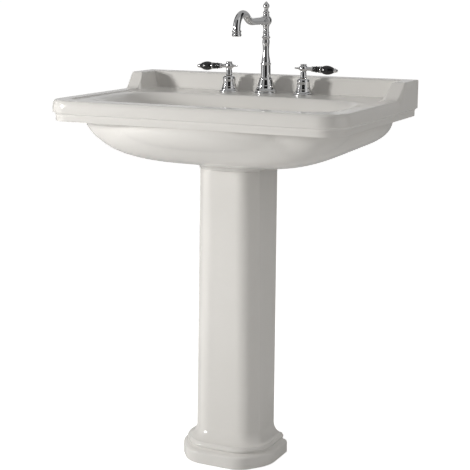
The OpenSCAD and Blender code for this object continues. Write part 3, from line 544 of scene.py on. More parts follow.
# %% [markdown]
# Underneath, the basin stands on its own foot, which repeats the pedestal's outline: a
# rectangle with its two front corners bevelled. The waste comes out into a pocket inside
# that foot. The outline has no stations of its own. A ring on it is found by looking out
# from a middle point in the direction of each station of the ledge.

# %% Rings of the pocket and the foot
COLUMN_PLAN = (77.5, 53, 82)
COLUMN_BEVEL = (29, 29, 50, 12)
COLUMN_BACK_R = 5
POCKET_WALL = 12
POCKET_HOLE_R = 24
FOOT_OUT = 1.5
FOOT_EDGE = 0.9
MIDDLE = np.array([0.0, 15.0])


def column_outline(grow):
    half_x, front, back = (size + grow for size in COLUMN_PLAN)
    bevel_w, bevel_d, front_r, side_r = COLUMN_BEVEL
    right = [(0, back), (half_x, back), (half_x, bevel_d - front), (half_x - bevel_w, -front),
             (0, -front)]
    return np.array(soft_line(right, [COLUMN_BACK_R, side_r, front_r], 6))[::-1]


def meet(line, middle, directions):
    result = np.zeros((len(directions), 2))
    a = line[:-1] - middle
    b = line[1:] - middle
    for i, turn in enumerate(directions):
        ray = np.array([math.cos(turn), math.sin(turn)])
        side_a = ray[0] * a[:, 1] - ray[1] * a[:, 0]
        side_b = ray[0] * b[:, 1] - ray[1] * b[:, 0]
        t = np.clip(side_a / np.where(side_a == side_b, 1, side_a - side_b), 0, 1)
        hits = a + (b - a) * t[:, None]
        good = (side_a * side_b <= 1e-9) & (hits @ ray > 0)
        result[i] = hits[np.argmax(good)] + middle
    return result


ledge_x, ledge_y = outline(LEDGE_IN, LEDGE_IN, 0)
directions = np.arctan2(ledge_y - MIDDLE[1], ledge_x - MIDDLE[0])
pocket, foot_in, foot = (meet(column_outline(grow), MIDDLE, directions)
                         for grow in (-POCKET_WALL, FOOT_OUT - FOOT_EDGE, FOOT_OUT))
for share, z in ((0, UNDER_SEAT_Z), (1, UNDER_SEAT_Z - 0.5), (1, COLUMN_Z + 0.6)):
    x = mix(POCKET_HOLE_R * np.cos(directions), pocket[:, 0], share)
    y = mix(WASTE_Y + POCKET_HOLE_R * np.sin(directions), pocket[:, 1], share)
    rings.append(whole_ring(x, y, z))
for line, above in ((foot_in, 0.4), (foot, 1.3), (foot, 2.9)):
    rings.append(whole_ring(*line.T, COLUMN_Z + above))
print("rings to the foot:", len(rings))

# %% [markdown]
# The bowl's outside is two cushion shapes joined softly: a broad one that reaches the wall,
# and a deeper one under the bowl. Both follow one formula. The line where the cushion ends
# on the ledge is looked for by halving, ray by ray, so that the skin meets it exactly.

# %% The cushions under the basin
BLEND_FRONT = 40
BLEND_REAR = 14
BLEND_SPAN = (FRONT + 130, FRONT + 310)


def cushion_depth(x, y, half_x, front, length, depth, power, edge, flat):
    across = np.abs(x) / half_x
    along = np.abs(y - front - length / 2) / (length / 2)
    u = (across ** power + along ** power) ** (1 / power)
    return depth * np.maximum(1 - u ** edge, 0) ** (1 / flat)


def under_depth(x, y):
    broad = cushion_depth(x, y, half_x=HALF_W - 21, front=FRONT + 14, length=598, depth=79.5,
                          power=2.4, edge=3.8, flat=2.35)
    deep = cushion_depth(x, y, half_x=HALF_W - 38, front=FRONT + 47, length=366, depth=100.5,
                         power=5, edge=3.4, flat=1.67)
    blend = mix(BLEND_FRONT, BLEND_REAR, ease(*BLEND_SPAN, y))
    near = np.maximum(blend - np.abs(broad - deep), 0) / blend
    return np.maximum(broad, deep) + blend / 4 * near ** 2 * ((broad > 1) & (deep > 1))


def along_rays(share):
    return mix(MIDDLE[0], ledge_x, share), mix(MIDDLE[1], ledge_y, share)


reach = np.linspace(0, 1, 300)
inside = under_depth(*along_rays(reach[:, None])) > 0
last = np.array([np.nonzero(inside[:, i])[0].max() for i in range(half_count)])
within = reach[last]
beyond = reach[np.minimum(last + 1, len(reach) - 1)]
for halving in range(30):
    between = (within + beyond) / 2
    hit = under_depth(*along_rays(between)) > 0
    within = np.where(hit, between, within)
    beyond = np.where(hit, beyond, between)
border = np.stack(along_rays(within), axis=1)
print("the cushions reach", round(float(border[:, 0].max())), "to each side")

# %% [markdown]
# The foot flares into the cushions through a cove. Where the two surfaces come close, the
# lower one wins softly. The last rings run out to the ledge, and the skin is closed there
# against the first ring of the band.

# %% Close the basin's skin
FOOT_RISE = 3
FOOT_COVE_R = 11
FOOT_SLOPE = 3
FOOT_BLEND = 12
NEAR_SHARE = 0.14


def distance_to(line, x, y):
    points = np.stack([x, y], axis=1)[:, None, :]
    a = line[None, :-1]
    step = line[None, 1:] - a
    t = np.clip(((points - a) * step).sum(2) / (step ** 2).sum(2), 0, 1)
    return np.linalg.norm(points - a - step * t[:, :, None], axis=2).min(1)


def underside(x, y):
    away = distance_to(column_outline(FOOT_OUT), x, y)
    start_z = COLUMN_Z + FOOT_RISE
    cove = np.sqrt(np.maximum(FOOT_COVE_R ** 2 - (FOOT_COVE_R - away) ** 2, 0))
    slope = FOOT_COVE_R + (away - FOOT_COVE_R) * FOOT_SLOPE
    foot_z = start_z + np.where(away < FOOT_COVE_R, cove, slope)
    under_z = LEDGE_Z - under_depth(x, y)
    near = np.maximum(FOOT_BLEND - np.abs(foot_z - under_z), 0) / FOOT_BLEND
    return np.minimum(foot_z, under_z) - near ** 2 * FOOT_BLEND / 4


near_foot = mix(foot, border, NEAR_SHARE)
for share in np.linspace(0, 1, 18)[1:]:
    x, y = mix(foot, near_foot, share ** 1.4).T
    rings.append(whole_ring(x, y, underside(x, y)))
for turn in np.linspace(0, 1, 30)[1:]:
    x, y = mix(near_foot, border, math.sin(turn * math.pi / 2) ** 0.9).T
    rings.append(whole_ring(x, y, underside(x, y)))
rings.append(whole_ring(ledge_x, ledge_y, LEDGE_Z))
points, faces = skin(rings, closed=True)
basin = make_piece("basin_body", points * MM, faces, 40)
print("basin skin:", len(rings), "rings,", triangles(basin), "triangles")

# %% [markdown]
# The pocket for the tap's tails, the three tap holes and the two wall holes are cut last,
# with a Boolean each, because real ones are also cut into the finished shape. Their edges
# stay crisp, so the shading is split there by angle.

# %% Tools for cutting
def cut(piece, cutters, operation="DIFFERENCE", shade_angle=30):
    for cutter in cutters:
        step = piece.modifiers.new("cut", "BOOLEAN")
        step.operation = operation
        step.solver = "MANIFOLD"
        step.object = cutter
    bpy.context.view_layer.update()
    graph = bpy.context.evaluated_depsgraph_get()
    result = bpy.data.meshes.new_from_object(piece.evaluated_get(graph))
    piece.modifiers.clear()
    old = piece.data
    piece.data = result
    bpy.data.meshes.remove(old)
    for cutter in cutters:
        bpy.data.objects.remove(cutter)
    smooth_by_angle(piece.data, shade_angle)
    return piece


def at(x, y, z):
    return Matrix.Translation(Vector((x, y, z)) * MM)


def block(line, low, high, place):
    stack = [np.column_stack([line, np.full(len(line), z)]) for z in (low, high)]
    points, faces = skin(stack)
    count = len(line)
    faces += [tuple(range(count))[::-1], tuple(range(count, 2 * count))]
    return make_piece("cutter", [place @ Vector(p * MM) for p in points], faces)


def rod(r, length, place, sides=64):
    turns = np.linspace(0, math.tau, sides + 1)[:-1]
    return block([(r * math.cos(a), r * math.sin(a)) for a in turns], 0, length, place)


print("cutting tools: block and rod")

# %% Cut the pocket and the holes
DECK_THICK = 14
TAIL_POCKET = (160, 98)
TAIL_POCKET_R = 20
TAIL_POCKET_BACK = WALL - 12
TAP_HOLE_R = 17.5
WALL_HOLE_R = 7
WALL_HOLE_X = 140
WALL_HOLE_Z = RIM_Z - 73
HOLE_LEN = 24


def tap_pocket():
    half_x, deep = TAIL_POCKET
    near_y = TAIL_POCKET_BACK - deep
    right = [(0, near_y), (half_x, near_y), (half_x, TAIL_POCKET_BACK), (0, TAIL_POCKET_BACK)]
    line = np.array(soft_line(right, TAIL_POCKET_R, 8))
    line = np.concatenate([line, line[-2:0:-1] * np.array([-1, 1])])
    return block(line, COLUMN_Z, DECK_Z - DECK_THICK, Matrix())


to_wall = Matrix.Rotation(math.radians(-90), 4, "X")
cutters = [tap_pocket()]
for x in (-TAP_X, 0, TAP_X):
    cutters.append(rod(TAP_HOLE_R, HOLE_LEN, at(x, TAP_Y, DECK_Z - DECK_THICK - 5)))
for x in (-WALL_HOLE_X, WALL_HOLE_X):
    cutters.append(rod(WALL_HOLE_R, HOLE_LEN, at(x, WALL - 18, WALL_HOLE_Z) @ to_wall, 40))
cut(basin, cutters, shade_angle=40)
settle(basin, "sink", "glazed_ceramic", "basin")
print("basin after cutting:", triangles(basin), "triangles")

# %% [markdown]
# ## The pedestal
#
# The pedestal is a hollow cast column, open at the back. Seen from above it is a C: the
# outer line turns in at the slot and runs back along the inside. One such C is made for
# each height, and the stack is closed into a skin. The moulded foot grows out of the same
# line, with softer and softer bevels towards the floor. A solid with its slot cut out by a
# Boolean would do as well, but would leave long thin faces in the glossy sides.

# %% The pedestal's line and its moulding
SLOT = 52
CAST_WALL = 12
INNER_BEVEL = (24, 26, 40, 8)
MOULD_IN = 35
MOULD_TOP = 76
FOOT_PLAN = np.array([120, 106, 63, 52, 66, 76, 86], float)
SHAFT_PLAN = np.array([85, 57, 60, *COLUMN_BEVEL], float)


def c_line(half_x, front, back, bevel_w, bevel_d, front_r, side_r):
    corners = [(SLOT, back), (half_x, back), (half_x, bevel_d - front), (half_x - bevel_w, -front),
               (0, -front)]
    right = np.array(soft_line(corners, [COLUMN_BACK_R, side_r, front_r], 8, 1.2))
    return np.concatenate([right, right[-2::-1] * np.array([-1, 1])])


def foot_line(t):
    return c_line(*mix(FOOT_PLAN, SHAFT_PLAN, t))


def top_line(shrink):
    return c_line(*(size - shrink for size in COLUMN_PLAN), *COLUMN_BEVEL)


moulding = [(2, 0), (0.6, 0.5), (0, 2), (0, 3), (0, 14), (0, 24)]
moulding += arc(7, 25, 7, 180, 96, 8)
moulding += [(9, 32.6)]
moulding += arc(15.8, 41, 6.2, 232, 128, 10)
moulding += [(12.6, 47.2)]
for a in np.linspace(0, math.pi / 2, 14):
    moulding.append((mix(13.4, MOULD_IN, math.sin(a)), mix(MOULD_TOP, 48.4, math.cos(a))))
print("moulding:", len(moulding), "points,", MOULD_TOP, "high")

# %% [markdown]
# The column narrows a little towards its top, as a casting that has to leave its mould
# does, and its wall keeps the same thickness. So the outer and the inner line each change
# evenly with height. The skin of rings is open at both ends, and the face on the floor and
# the face under the basin are added to it.

# %% Rings of the pedestal
stack = [(foot_line(inset / MOULD_IN), z) for inset, z in moulding]
for z in (78, 90, 230, 380, 540, 690, COLUMN_Z - 1.6):
    share = (z - MOULD_TOP) / (COLUMN_Z - MOULD_TOP)
    stack.append((mix(foot_line(1), top_line(0), share), z))
stack.append((mix(top_line(0), top_line(0.7), 0.35), COLUMN_Z - 0.5))
stack.append((top_line(1.2), COLUMN_Z))

inner_low = c_line(*(SHAFT_PLAN[:3] - CAST_WALL), *INNER_BEVEL)
inner_high = c_line(*(size - CAST_WALL for size in COLUMN_PLAN), *INNER_BEVEL)
rings = []
for line, z in stack:
    inner = mix(inner_low, inner_high, z / COLUMN_Z)[::-1]
    loop = np.concatenate([line, inner])
    rings.append(np.column_stack([loop, np.full(len(loop), z)]))
points, faces = skin(rings)
count = len(rings[0])
half = count // 2
for start in (0, (len(rings) - 1) * count):
    end = start + count - 1
    faces += [(start + i, start + i + 1, end - i - 1, end - i) for i in range(half - 1)]
pedestal = make_piece("pedestal_body", points * MM, faces, 38)
settle(pedestal, "sink", "glazed_ceramic", "pedestal")
print("pedestal:", triangles(pedestal), "triangles")

# %% [markdown]
# ## Turned metal
#
# Nearly every piece of the tap came off a lathe, so one tool spins a profile round an axis.
# The profile is the distance from the axis and the height along it. Every sharp corner gets
# a tiny radius, because a polished edge is never sharp, and it is that radius which catches
# the light.

# %% The lathe
def supported(line, beside=0.25):
    result = [np.array(line[0], float)]
    for a, b in zip(line, line[1:]):
        length = np.linalg.norm(b - a)
        if length > 5 * beside:
            result += [mix(a, b, beside / length), mix(a, b, 1 - beside / length)]
        if length > 1e-6:
            result.append(b)
    return result


def spin(name, profile, place, sides=96, soften=0.25):
    corners = [np.array(p, float) for p in profile]
    on_axis = corners[0][0] < 1e-6 and corners[-1][0] < 1e-6
    if not on_axis:
        halfway = mix(corners[0], corners[1], 0.5)
        corners = [halfway] + corners[1:] + corners[:1] + [halfway]
    line = supported(soft_line(corners, soften, 3))
    turns = np.linspace(0, math.tau, sides + 1)[:-1]
    stack = [np.column_stack([max(r, 1e-5) * np.cos(turns), max(r, 1e-5) * np.sin(turns),
                              np.full(sides, z)]) for r, z in line]
    points, faces = skin(stack)
    if on_axis:
        first = len(points)
        points = np.concatenate([points, [[0, 0, line[0][1]], [0, 0, line[-1][1]]]])
        end = first - sides
        faces += [(first, (i + 1) % sides, i) for i in range(sides)]
        faces += [(first + 1, end + i, end + (i + 1) % sides) for i in range(sides)]
    return make_piece(name, [place @ Vector(p * MM) for p in points], faces, 36)


def fuse(piece, *others):
    return cut(piece, list(others), "UNION", 36)


print("lathe: ready")

# %% [markdown]
# The spout stands on a bell-shaped flange. Its column narrows upwards over a few beads, and
# ends in a spigot that the ball turns on. The finial sits on the spigot and does not turn.

# %% Flange, column and finial
SPOUT = at(0, TAP_Y, DECK_Z)
SPOUT_H = 176
COLUMN_TOP = SPOUT_H - 14
SPIGOT_TOP = SPOUT_H + 15.3
SPIGOT_R = 5.5
PIN_R = 2.7

flange = spin("spout_bell",
              [(28.5, 0), (28.5, 2.6), (27.2, 4.2), (25.8, 5.2)]
              + arc(35, 20, 14, 238, 183, 12)
              + [(20, 20.8), (19.4, 23), (17.2, 30), (16.2, 33.5), (16.2, 35), (14.4, 38),
                 (13.6, 40), (12.3, 40), (12.3, 30), (18, 18), (21.5, 7), (21.5, 0)],
              SPOUT)
settle(flange, "sink", "chrome", "spout_flange")

column = spin("spout_pillar",
              [(0, -44), (9, -44), (9, 1.5), (20, 1.5), (20, 4.5), (12, 6), (12, 44),
               (11.6, 66), (11.6, 69)]
              + arc(10.9, 72, 2, -60, 60, 8)
              + [(10.6, 75.5), (10.4, 80), (8.7, 89), (7.7, 97), (7.3, 105), (7.9, 115),
                 (8.8, 123), (8.8, 128), (7.8, 131)]
              + arc(8.4, 136, 2.1, -70, 70, 8)
              + [(7.8, 139.5), (7.2, 144)]
              + arc(6.9, 147.5, 1.4, -70, 70, 6)
              + [(6.6, 151), (6.5, 157), (7.4, COLUMN_TOP), (SPIGOT_R, COLUMN_TOP),
                 (SPIGOT_R, SPIGOT_TOP - 0.05), (PIN_R, SPIGOT_TOP - 0.05),
                 (PIN_R, SPIGOT_TOP - 9), (0, SPIGOT_TOP - 9)],
              SPOUT)
settle(column, "sink", "chrome", "spout_column")

finial = spin("spout_finial_turned",
              [(0, SPIGOT_TOP - 8), (2.5, SPIGOT_TOP - 8), (2.5, SPIGOT_TOP), (6.2, SPIGOT_TOP),
               (7.8, SPIGOT_TOP + 3), (7.8, SPIGOT_TOP + 5), (5.2, SPIGOT_TOP + 8),
               (4.6, SPIGOT_TOP + 10.5)]
              + arc(0, SPIGOT_TOP + 19.5, 7.7, -48, 50, 16)
              + [(2.4, SPIGOT_TOP + 29), (0, SPIGOT_TOP + 30.7)],
              SPOUT, soften=0.4)
settle(finial, "sink", "chrome", "spout_finial")
print("spout: flange, column and finial")

# %% [markdown]
# The ball is bored through, so that it clears the spigot at every turn. Its socket points
# forward and is fused to it. The nozzle is a loose ring with a hollow between two beads.

# %% Ball, socket and nozzle
HUB_BORE = 5.8
HUB_LOW = COLUMN_TOP + 0.3
HUB_TOP = SPIGOT_TOP - 0.3
REACH = 163
OUTLET_DROP = 26
OUTLET = at(0, TAP_Y - REACH, DECK_Z + SPOUT_H - OUTLET_DROP)

hub = spin("spout_ball",
           [(HUB_BORE, HUB_LOW), (8.6, HUB_LOW), (9, HUB_LOW + 1.2), (7.6, HUB_LOW + 2.4)]
           + arc(0, SPOUT_H, 13.5, -52, 55, 22)
           + [(7.4, SPOUT_H + 12), (8.2, HUB_TOP - 2), (7.8, HUB_TOP), (HUB_BORE, HUB_TOP)],
           SPOUT)
forward = Matrix.Rotation(math.radians(90), 4, "X")
socket = spin("spout_boss",
              [(0, 7.8), (10.8, 7.8), (10.8, 15), (10, 17), (10.6, 19), (10.4, 24), (0, 24)],
              at(0, TAP_Y, DECK_Z + SPOUT_H) @ forward)
settle(fuse(hub, socket), "swivel_spout", "chrome", "spout_hub")

nozzle = spin("spout_nozzle",
              [(9, -6), (10.2, -6), (11.1, -4.5), (11.1, -1), (10, 0.5), (10, 3.5), (11, 5),
               (11, 6.4), (10.2, 8), (9, 8)],
              OUTLET, soften=0.4)
settle(nozzle, "swivel_spout", "chrome", "spout_outlet_ring")
print("spout: ball with its socket, and nozzle")

# %% [markdown]
# ## The swan neck
#
# A bent tube is a circle swept along a line, which is exactly what Curve to Mesh does in
# Geometry Nodes. The line is written here as points with a radius each, so that the thicker
# socket at the ball and the slim tube come from one tree. Its inputs are named, and are set
# before the modifier is looked at for the first time. The result becomes a plain mesh.

# %% The two ends of a tree
def tree_with(name, *sockets):
    tree = bpy.data.node_groups.new(name, "GeometryNodeTree")
    tree.interface.new_socket("Geometry", in_out="INPUT", socket_type="NodeSocketGeometry")
    tree.interface.new_socket("Geometry", in_out="OUTPUT", socket_type="NodeSocketGeometry")
    for label, kind_of in sockets + (("Finish", "Material"),):
        tree.interface.new_socket(label, in_out="INPUT", socket_type="NodeSocket" + kind_of)
    return tree, tree.nodes.new("NodeGroupInput"), tree.nodes.new("NodeGroupOutput")


def realize_and_finish(tree, start, shape, out, end):
    real = add(tree, "GeometryNodeRealizeInstances")
    coat = add(tree, "GeometryNodeSetMaterial")
    join(tree, shape, out, real, "Geometry")
    join(tree, real, "Geometry", coat, "Geometry")
    join(tree, start, "Finish", coat, "Material")
    join(tree, coat, "Geometry", end, "Geometry")


print("every tree ends in Realize Instances and Set Material")

# %% Grow a piece from a tree
def grow(name, tree, seed_mesh, values):
    host = bpy.data.objects.new(name, seed_mesh)
    bpy.context.scene.collection.objects.link(host)
    step = host.modifiers.new("grow", "NODES")
    step.node_group = tree
    for item in tree.interface.items_tree:
        if item.in_out == "INPUT" and item.name in values:
            step[item.identifier] = values[item.name]
    bpy.context.view_layer.update()
    graph = bpy.context.evaluated_depsgraph_get()
    mesh = bpy.data.meshes.new_from_object(host.evaluated_get(graph))
    host.modifiers.clear()
    host.data = mesh
    return host


print("a grown piece is a plain mesh, with no modifier left on it")

# %% A tree for a swept tube
def sweep_tree():
    tree, start, end = tree_with("swept_tube", ("Sides", "Int"))
    to_curve = add(tree, "GeometryNodeMeshToCurve")
    width = add(tree, "GeometryNodeInputNamedAttribute", data_type="FLOAT")
    width.inputs["Name"].default_value = "width"
    circle = add(tree, "GeometryNodeCurvePrimitiveCircle")
    circle.inputs["Radius"].default_value = 1.0
    sweep = add(tree, "GeometryNodeCurveToMesh")
    sweep.inputs["Fill Caps"].default_value = True
    join(tree, start, "Geometry", to_curve, "Mesh")
    join(tree, to_curve, "Curve", sweep, "Curve")
    join(tree, start, "Sides", circle, "Resolution")
    join(tree, circle, "Curve", sweep, "Profile Curve")
    join(tree, width, "Attribute", sweep, "Scale")
    realize_and_finish(tree, start, sweep, "Mesh", end)
    return tree


sweep = sweep_tree()
print("sweep tree:", len(sweep.nodes), "nodes")

# %% [markdown]
# The neck leaves the socket level, bends up over a gentle curve and then falls over a tight
# crest to the outlet. Both bends are arcs. The angle where one hands over to the other
# follows from their radii and from how far the outlet hangs below the crest's middle.

# %% The line of the neck
LOW_BEND = 40
CREST = 33
CREST_DROP = 14
TUBE = 8.7
NECK_SIDES = 64
climb_angle = math.acos((LOW_BEND + CREST_DROP) / (LOW_BEND + CREST))
crest_at = REACH - CREST
bend_at = crest_at - (LOW_BEND + CREST) * math.sin(climb_angle)

neck_line = [(14, 0, TUBE), (24, 0, TUBE), (24.4, 0, TUBE + 1.2), (25.2, 0, TUBE + 1.5),
             (28, 0, TUBE + 1.1), (33, 0, TUBE + 0.6), (42, 0, TUBE + 0.2), (50, 0, TUBE),
             (60, 0, TUBE)]
for a in np.linspace(0, climb_angle, 18):
    neck_line.append((bend_at + LOW_BEND * math.sin(a), LOW_BEND * (1 - math.cos(a)), TUBE))
for a in np.linspace(climb_angle, -math.pi / 2, 34)[1:]:
    neck_line.append((crest_at - CREST * math.sin(a), CREST * math.cos(a) - CREST_DROP, TUBE))
neck_line += [(REACH, -CREST_DROP - 3, TUBE), (REACH, 5.5 - OUTLET_DROP, TUBE)]
print("neck line:", len(neck_line), "points")

# %% Sweep the neck
def polyline(name, points, radii):
    mesh = bpy.data.meshes.new(name)
    mesh.from_pydata([tuple(p) for p in points], [(i, i + 1) for i in range(len(points) - 1)], [])
    width = mesh.attributes.new("width", "FLOAT", "POINT")
    width.data.foreach_set("value", np.asarray(radii, np.float32))
    return mesh


neck_points = np.array([(0, TAP_Y - y, DECK_Z + SPOUT_H + z) for y, z, r in neck_line]) * MM
neck_radii = [r * MM for y, z, r in neck_line]
neck = grow("spout_swan_neck", sweep, polyline("neck_line", neck_points, neck_radii),
            {"Sides": NECK_SIDES, "Finish": finishes["chrome"]})
smooth_by_angle(neck.data, 40)
settle(neck, "swivel_spout", "chrome", "spout_neck")
print("swan neck:", triangles(neck), "triangles")

# %% [markdown]
# ## The levers
#
# Each valve wears a bell, and on it turns a lever: a ball with a small spike behind, a
# turned black grip between two metal rings, and a button on top. The levers mirror each
# other, so one recipe is used twice. The bell belongs to the sink, and all the rest turns.

# %% Bell cover, hub and button
LEVER_H = 64
CAP_FROM = LEVER_H + 7.5


def bell_cover(valve, prefix):
    cover = spin(prefix + "_valve_bell",
                 [(26, 0), (26, 2.4), (24.8, 4), (23, 4.8)]
                 + arc(25.5, 12.3, 7.3, 250, 190, 10)
                 + [(17.6, 13.2), (17.6, 14.6), (16.2, 19), (15.8, 26), (15.8, 32.5),
                    (15, 36.5), (12, 39.5), (9, 39.5), (9, 37), (13, 34.5), (13.6, 20),
                    (15.4, 13), (21.4, 5), (21.4, 0)],
                 valve)
    settle(cover, "sink", "chrome", prefix + "_bell_cover")


def lever_hub(valve, outward, inward, body, prefix):
    ball = spin(prefix + "_lever_ball",
                [(0, 40.5), (7.9, 40.5), (8.4, 41.5), (7.4, 43.5), (7.2, 53), (6.4, 55)]
                + arc(0, LEVER_H, 10, -52, 48, 20)
                + [(0, LEVER_H + 7.4)],
                valve)
    stub = spin("stub",
                [(0, 1), (4.6, 1), (4.6, 19), (5.4, 20.5), (6.6, 21.5), (6.6, 23.5), (5.4, 25),
                 (0, 25)],
                outward, 64)
    spike = spin("spike",
                 [(0, 1), (4.2, 1), (4.2, 11), (2.6, 13), (1.7, 19)]
                 + arc(0, 21, 2.2, -40, 88, 10)
                 + [(0, 23.2)],
                 inward, 48, soften=0.5)
    settle(fuse(ball, stub, spike), body, "chrome", prefix + "_lever_hub")


def cap_button(valve, body, prefix):
    button = spin(prefix + "_button",
                  [(0, CAP_FROM), (6.8, CAP_FROM), (7.6, CAP_FROM + 1), (7.6, CAP_FROM + 2.2),
                   (6.4, CAP_FROM + 3), (0, CAP_FROM + 3.6)],
                  valve, soften=0.5)
    settle(button, body, "chrome", prefix + "_cap_button")


print("lever axis", LEVER_H, "above the deck, button from", CAP_FROM)

# %% [markdown]
# On the rod sit a black bead, a metal ring, the black grip and a metal tip. One profile
# from end to end could make them all, but each is a sleeve of its own on the real lever,
# and black has to end where metal begins. The grip is a flattened sine hump that gets
# slimmer towards its tip.

# %% Bead, ring, grip and tip
GRIP_FROM = 47.5
GRIP_LEN = 31.5
TIP_FROM = GRIP_FROM + GRIP_LEN


def grip_line():
    line = []
    for t in np.linspace(0, 1, 26):
        swell = math.sin(math.pi * t ** 0.92) ** 0.65 if 0 < t < 1 else 0
        line.append((mix(6.2, 11.7, swell) - 1.6 * t, GRIP_FROM + GRIP_LEN * t))
    return line


def grip_sleeves(outward, body, prefix):
    bead = spin(prefix + "_black_bead",
                [(0, 25), (5.2, 25)]
                + arc(4.6, 27.4, 2.2, -70, 70, 8)
                + [(5.4, 30)]
                + arc(5, 33.2, 2.8, -75, 75, 10)
                + [(6, 36.6), (7.4, 38.2), (7.8, 41), (7, 43.5), (0, 43.5)],
                outward)
    settle(bead, body, "black_grip", prefix + "_grip_bead")
    metal_ring = spin(prefix + "_ring",
                      [(0, 43.5), (6.4, 43.5)]
                      + arc(6.6, 45.5, 2, -70, 70, 10)
                      + [(6.4, GRIP_FROM), (0, GRIP_FROM)],
                      outward)
    settle(metal_ring, body, "chrome", prefix + "_grip_ring")
    grip = spin(prefix + "_black_grip", [(0, GRIP_FROM)] + grip_line() + [(0, TIP_FROM)], outward)
    settle(grip, body, "black_grip", prefix + "_grip")
    tip = spin(prefix + "_tip",
               [(0, TIP_FROM), (5, TIP_FROM)]
               + arc(3.6, TIP_FROM + 2.2, 2, -60, 60, 8)
               + [(3.8, TIP_FROM + 4.8), (4.2, TIP_FROM + 6.4), (3.2, TIP_FROM + 8.6),
                  (0, TIP_FROM + 10)],
               outward, soften=0.6)
    settle(tip, body, "chrome", prefix + "_lever_tip")


print("grip: widest radius", round(max(r for r, z in grip_line()), 1))

# %% [markdown]
# The recipes above know nothing of left and right. Two turned axes tell them where outward
# and inward are, and the grip hangs down by two degrees.

# %% Both levers
DROOP = 2
SIDES = ((1, "right"), (-1, "left"))


def turned_over(side, degrees):
    return at(0, 0, LEVER_H) @ Matrix.Rotation(math.radians(side * degrees), 4, "Y")


for side, prefix in SIDES:
    valve = at(side * TAP_X, TAP_Y, DECK_Z)
    outward = valve @ turned_over(side, 90 + DROOP)
    inward = valve @ turned_over(-side, 90)
    body = prefix + "_lever"
    bell_cover(valve, prefix)
    lever_hub(valve, outward, inward, body, prefix)
    cap_button(valve, body, prefix)
    grip_sleeves(outward, body, prefix)
print("levers and bells: done on both sides")

# %% [markdown]
# ## The plug
#
# The plug is a shallow dome on a stem, and lifts straight up from its seat. A slice of a
# sphere on a rod could do for it, but it is turned metal with a lip round its edge, so the
# lathe makes it from one profile.

# %% The plug
PLUG_Z = SEAT_Z + 5
STEM_Z = SEAT_Z - 62

plug = spin("waste_plug_dome",
            [(0, STEM_Z), (4, STEM_Z), (4, PLUG_Z), (28, PLUG_Z), (28.6, PLUG_Z + 0.8),
             (28, PLUG_Z + 2), (20, PLUG_Z + 4), (10, PLUG_Z + 5.1), (0, PLUG_Z + 5.5)],
            at(0, WASTE_Y, 0), soften=0.6)
settle(plug, "plug", "chrome", "waste_plug")
print("plug:", triangles(plug), "triangles")

# %% [markdown]
# ## The aerator
#
# The aerator is a disc full of fine holes that breaks the water into a soft stream. Dark
# dots in its finish would do from afar, but they have no depth from close by. The holes
# repeat, so Geometry Nodes place a small pin on each point of a grid that lies inside a
# circle, and cut all of them away at once. The pins have six sides, which at this size look
# round.

# %% A tree for a disc of holes
def hole_tree():
    tree, start, end = tree_with("disc_of_holes", ("Hole radius", "Float"), ("Spacing", "Float"),
                                 ("Rings", "Int"), ("Depth", "Float"))
    grid = add(tree, "GeometryNodeMeshGrid")
    size = add(tree, "ShaderNodeMath", operation="MULTIPLY")
    join(tree, start, "Spacing", size, 0)
    join(tree, start, "Rings", size, 1)
    count = add(tree, "ShaderNodeMath", operation="ADD")
    count.inputs[1].default_value = 1
    join(tree, start, "Rings", count, 0)
    for axis in ("X", "Y"):
        join(tree, size, 0, grid, "Size " + axis)
        join(tree, count, 0, grid, "Vertices " + axis)
    where = add(tree, "GeometryNodeInputPosition")
    away = add(tree, "ShaderNodeVectorMath", operation="LENGTH")
    near = add(tree, "ShaderNodeMath", operation="LESS_THAN")
    half = add(tree, "ShaderNodeMath", operation="MULTIPLY")
    half.inputs[1].default_value = 0.5
    join(tree, where, "Position", away, 0)
    join(tree, size, 0, half, 0)
    join(tree, away, "Value", near, 0)
    join(tree, half, 0, near, 1)
    pin = add(tree, "GeometryNodeMeshCylinder")
    pin.inputs["Vertices"].default_value = 6
    join(tree, start, "Hole radius", pin, "Radius")
    join(tree, start, "Depth", pin, "Depth")
    pins = add(tree, "GeometryNodeInstanceOnPoints")
    join(tree, grid, "Mesh", pins, "Points")
    join(tree, near, 0, pins, "Selection")
    join(tree, pin, "Mesh", pins, "Instance")
    real_pins = add(tree, "GeometryNodeRealizeInstances")
    join(tree, pins, "Instances", real_pins, "Geometry")
    carve = add(tree, "GeometryNodeMeshBoolean", operation="DIFFERENCE", solver="EXACT")
    join(tree, start, "Geometry", carve, "Mesh 1")
    join(tree, real_pins, "Geometry", carve, "Mesh 2")
    realize_and_finish(tree, start, carve, "Mesh", end)
    return tree


holes = hole_tree()
print("hole tree:", len(holes.nodes), "nodes")

# %% Carve the aerator
disc = spin("aerator_disc", [(0, -5), (8.3, -5), (8.6, -4.6), (8.6, 0), (0, 0)], at(0, 0, 0))
aerator = grow("aerator_insert", holes, disc.data,
               {"Hole radius": 0.55 * MM, "Spacing": 1.7 * MM, "Rings": 9, "Depth": 8 * MM,
                "Finish": finishes["white_plastic"]})
aerator.data.transform(OUTLET)
bpy.data.objects.remove(disc)
smooth_by_angle(aerator.data, 30)
settle(aerator, "swivel_spout", "white_plastic", "aerator")
print("aerator:", triangles(aerator), "triangles")

# %% [markdown]
# ## Threads
#
# A thread is a ridge wound round a rod. A bump in the finish would do for its face, but not
# for its outline, so it is a spiral curve swept with a small four-sided profile. The tails
# and the inlets are plain in the frame, and the ridges are added to them. They are small,
# but they are what a plumber looks for.

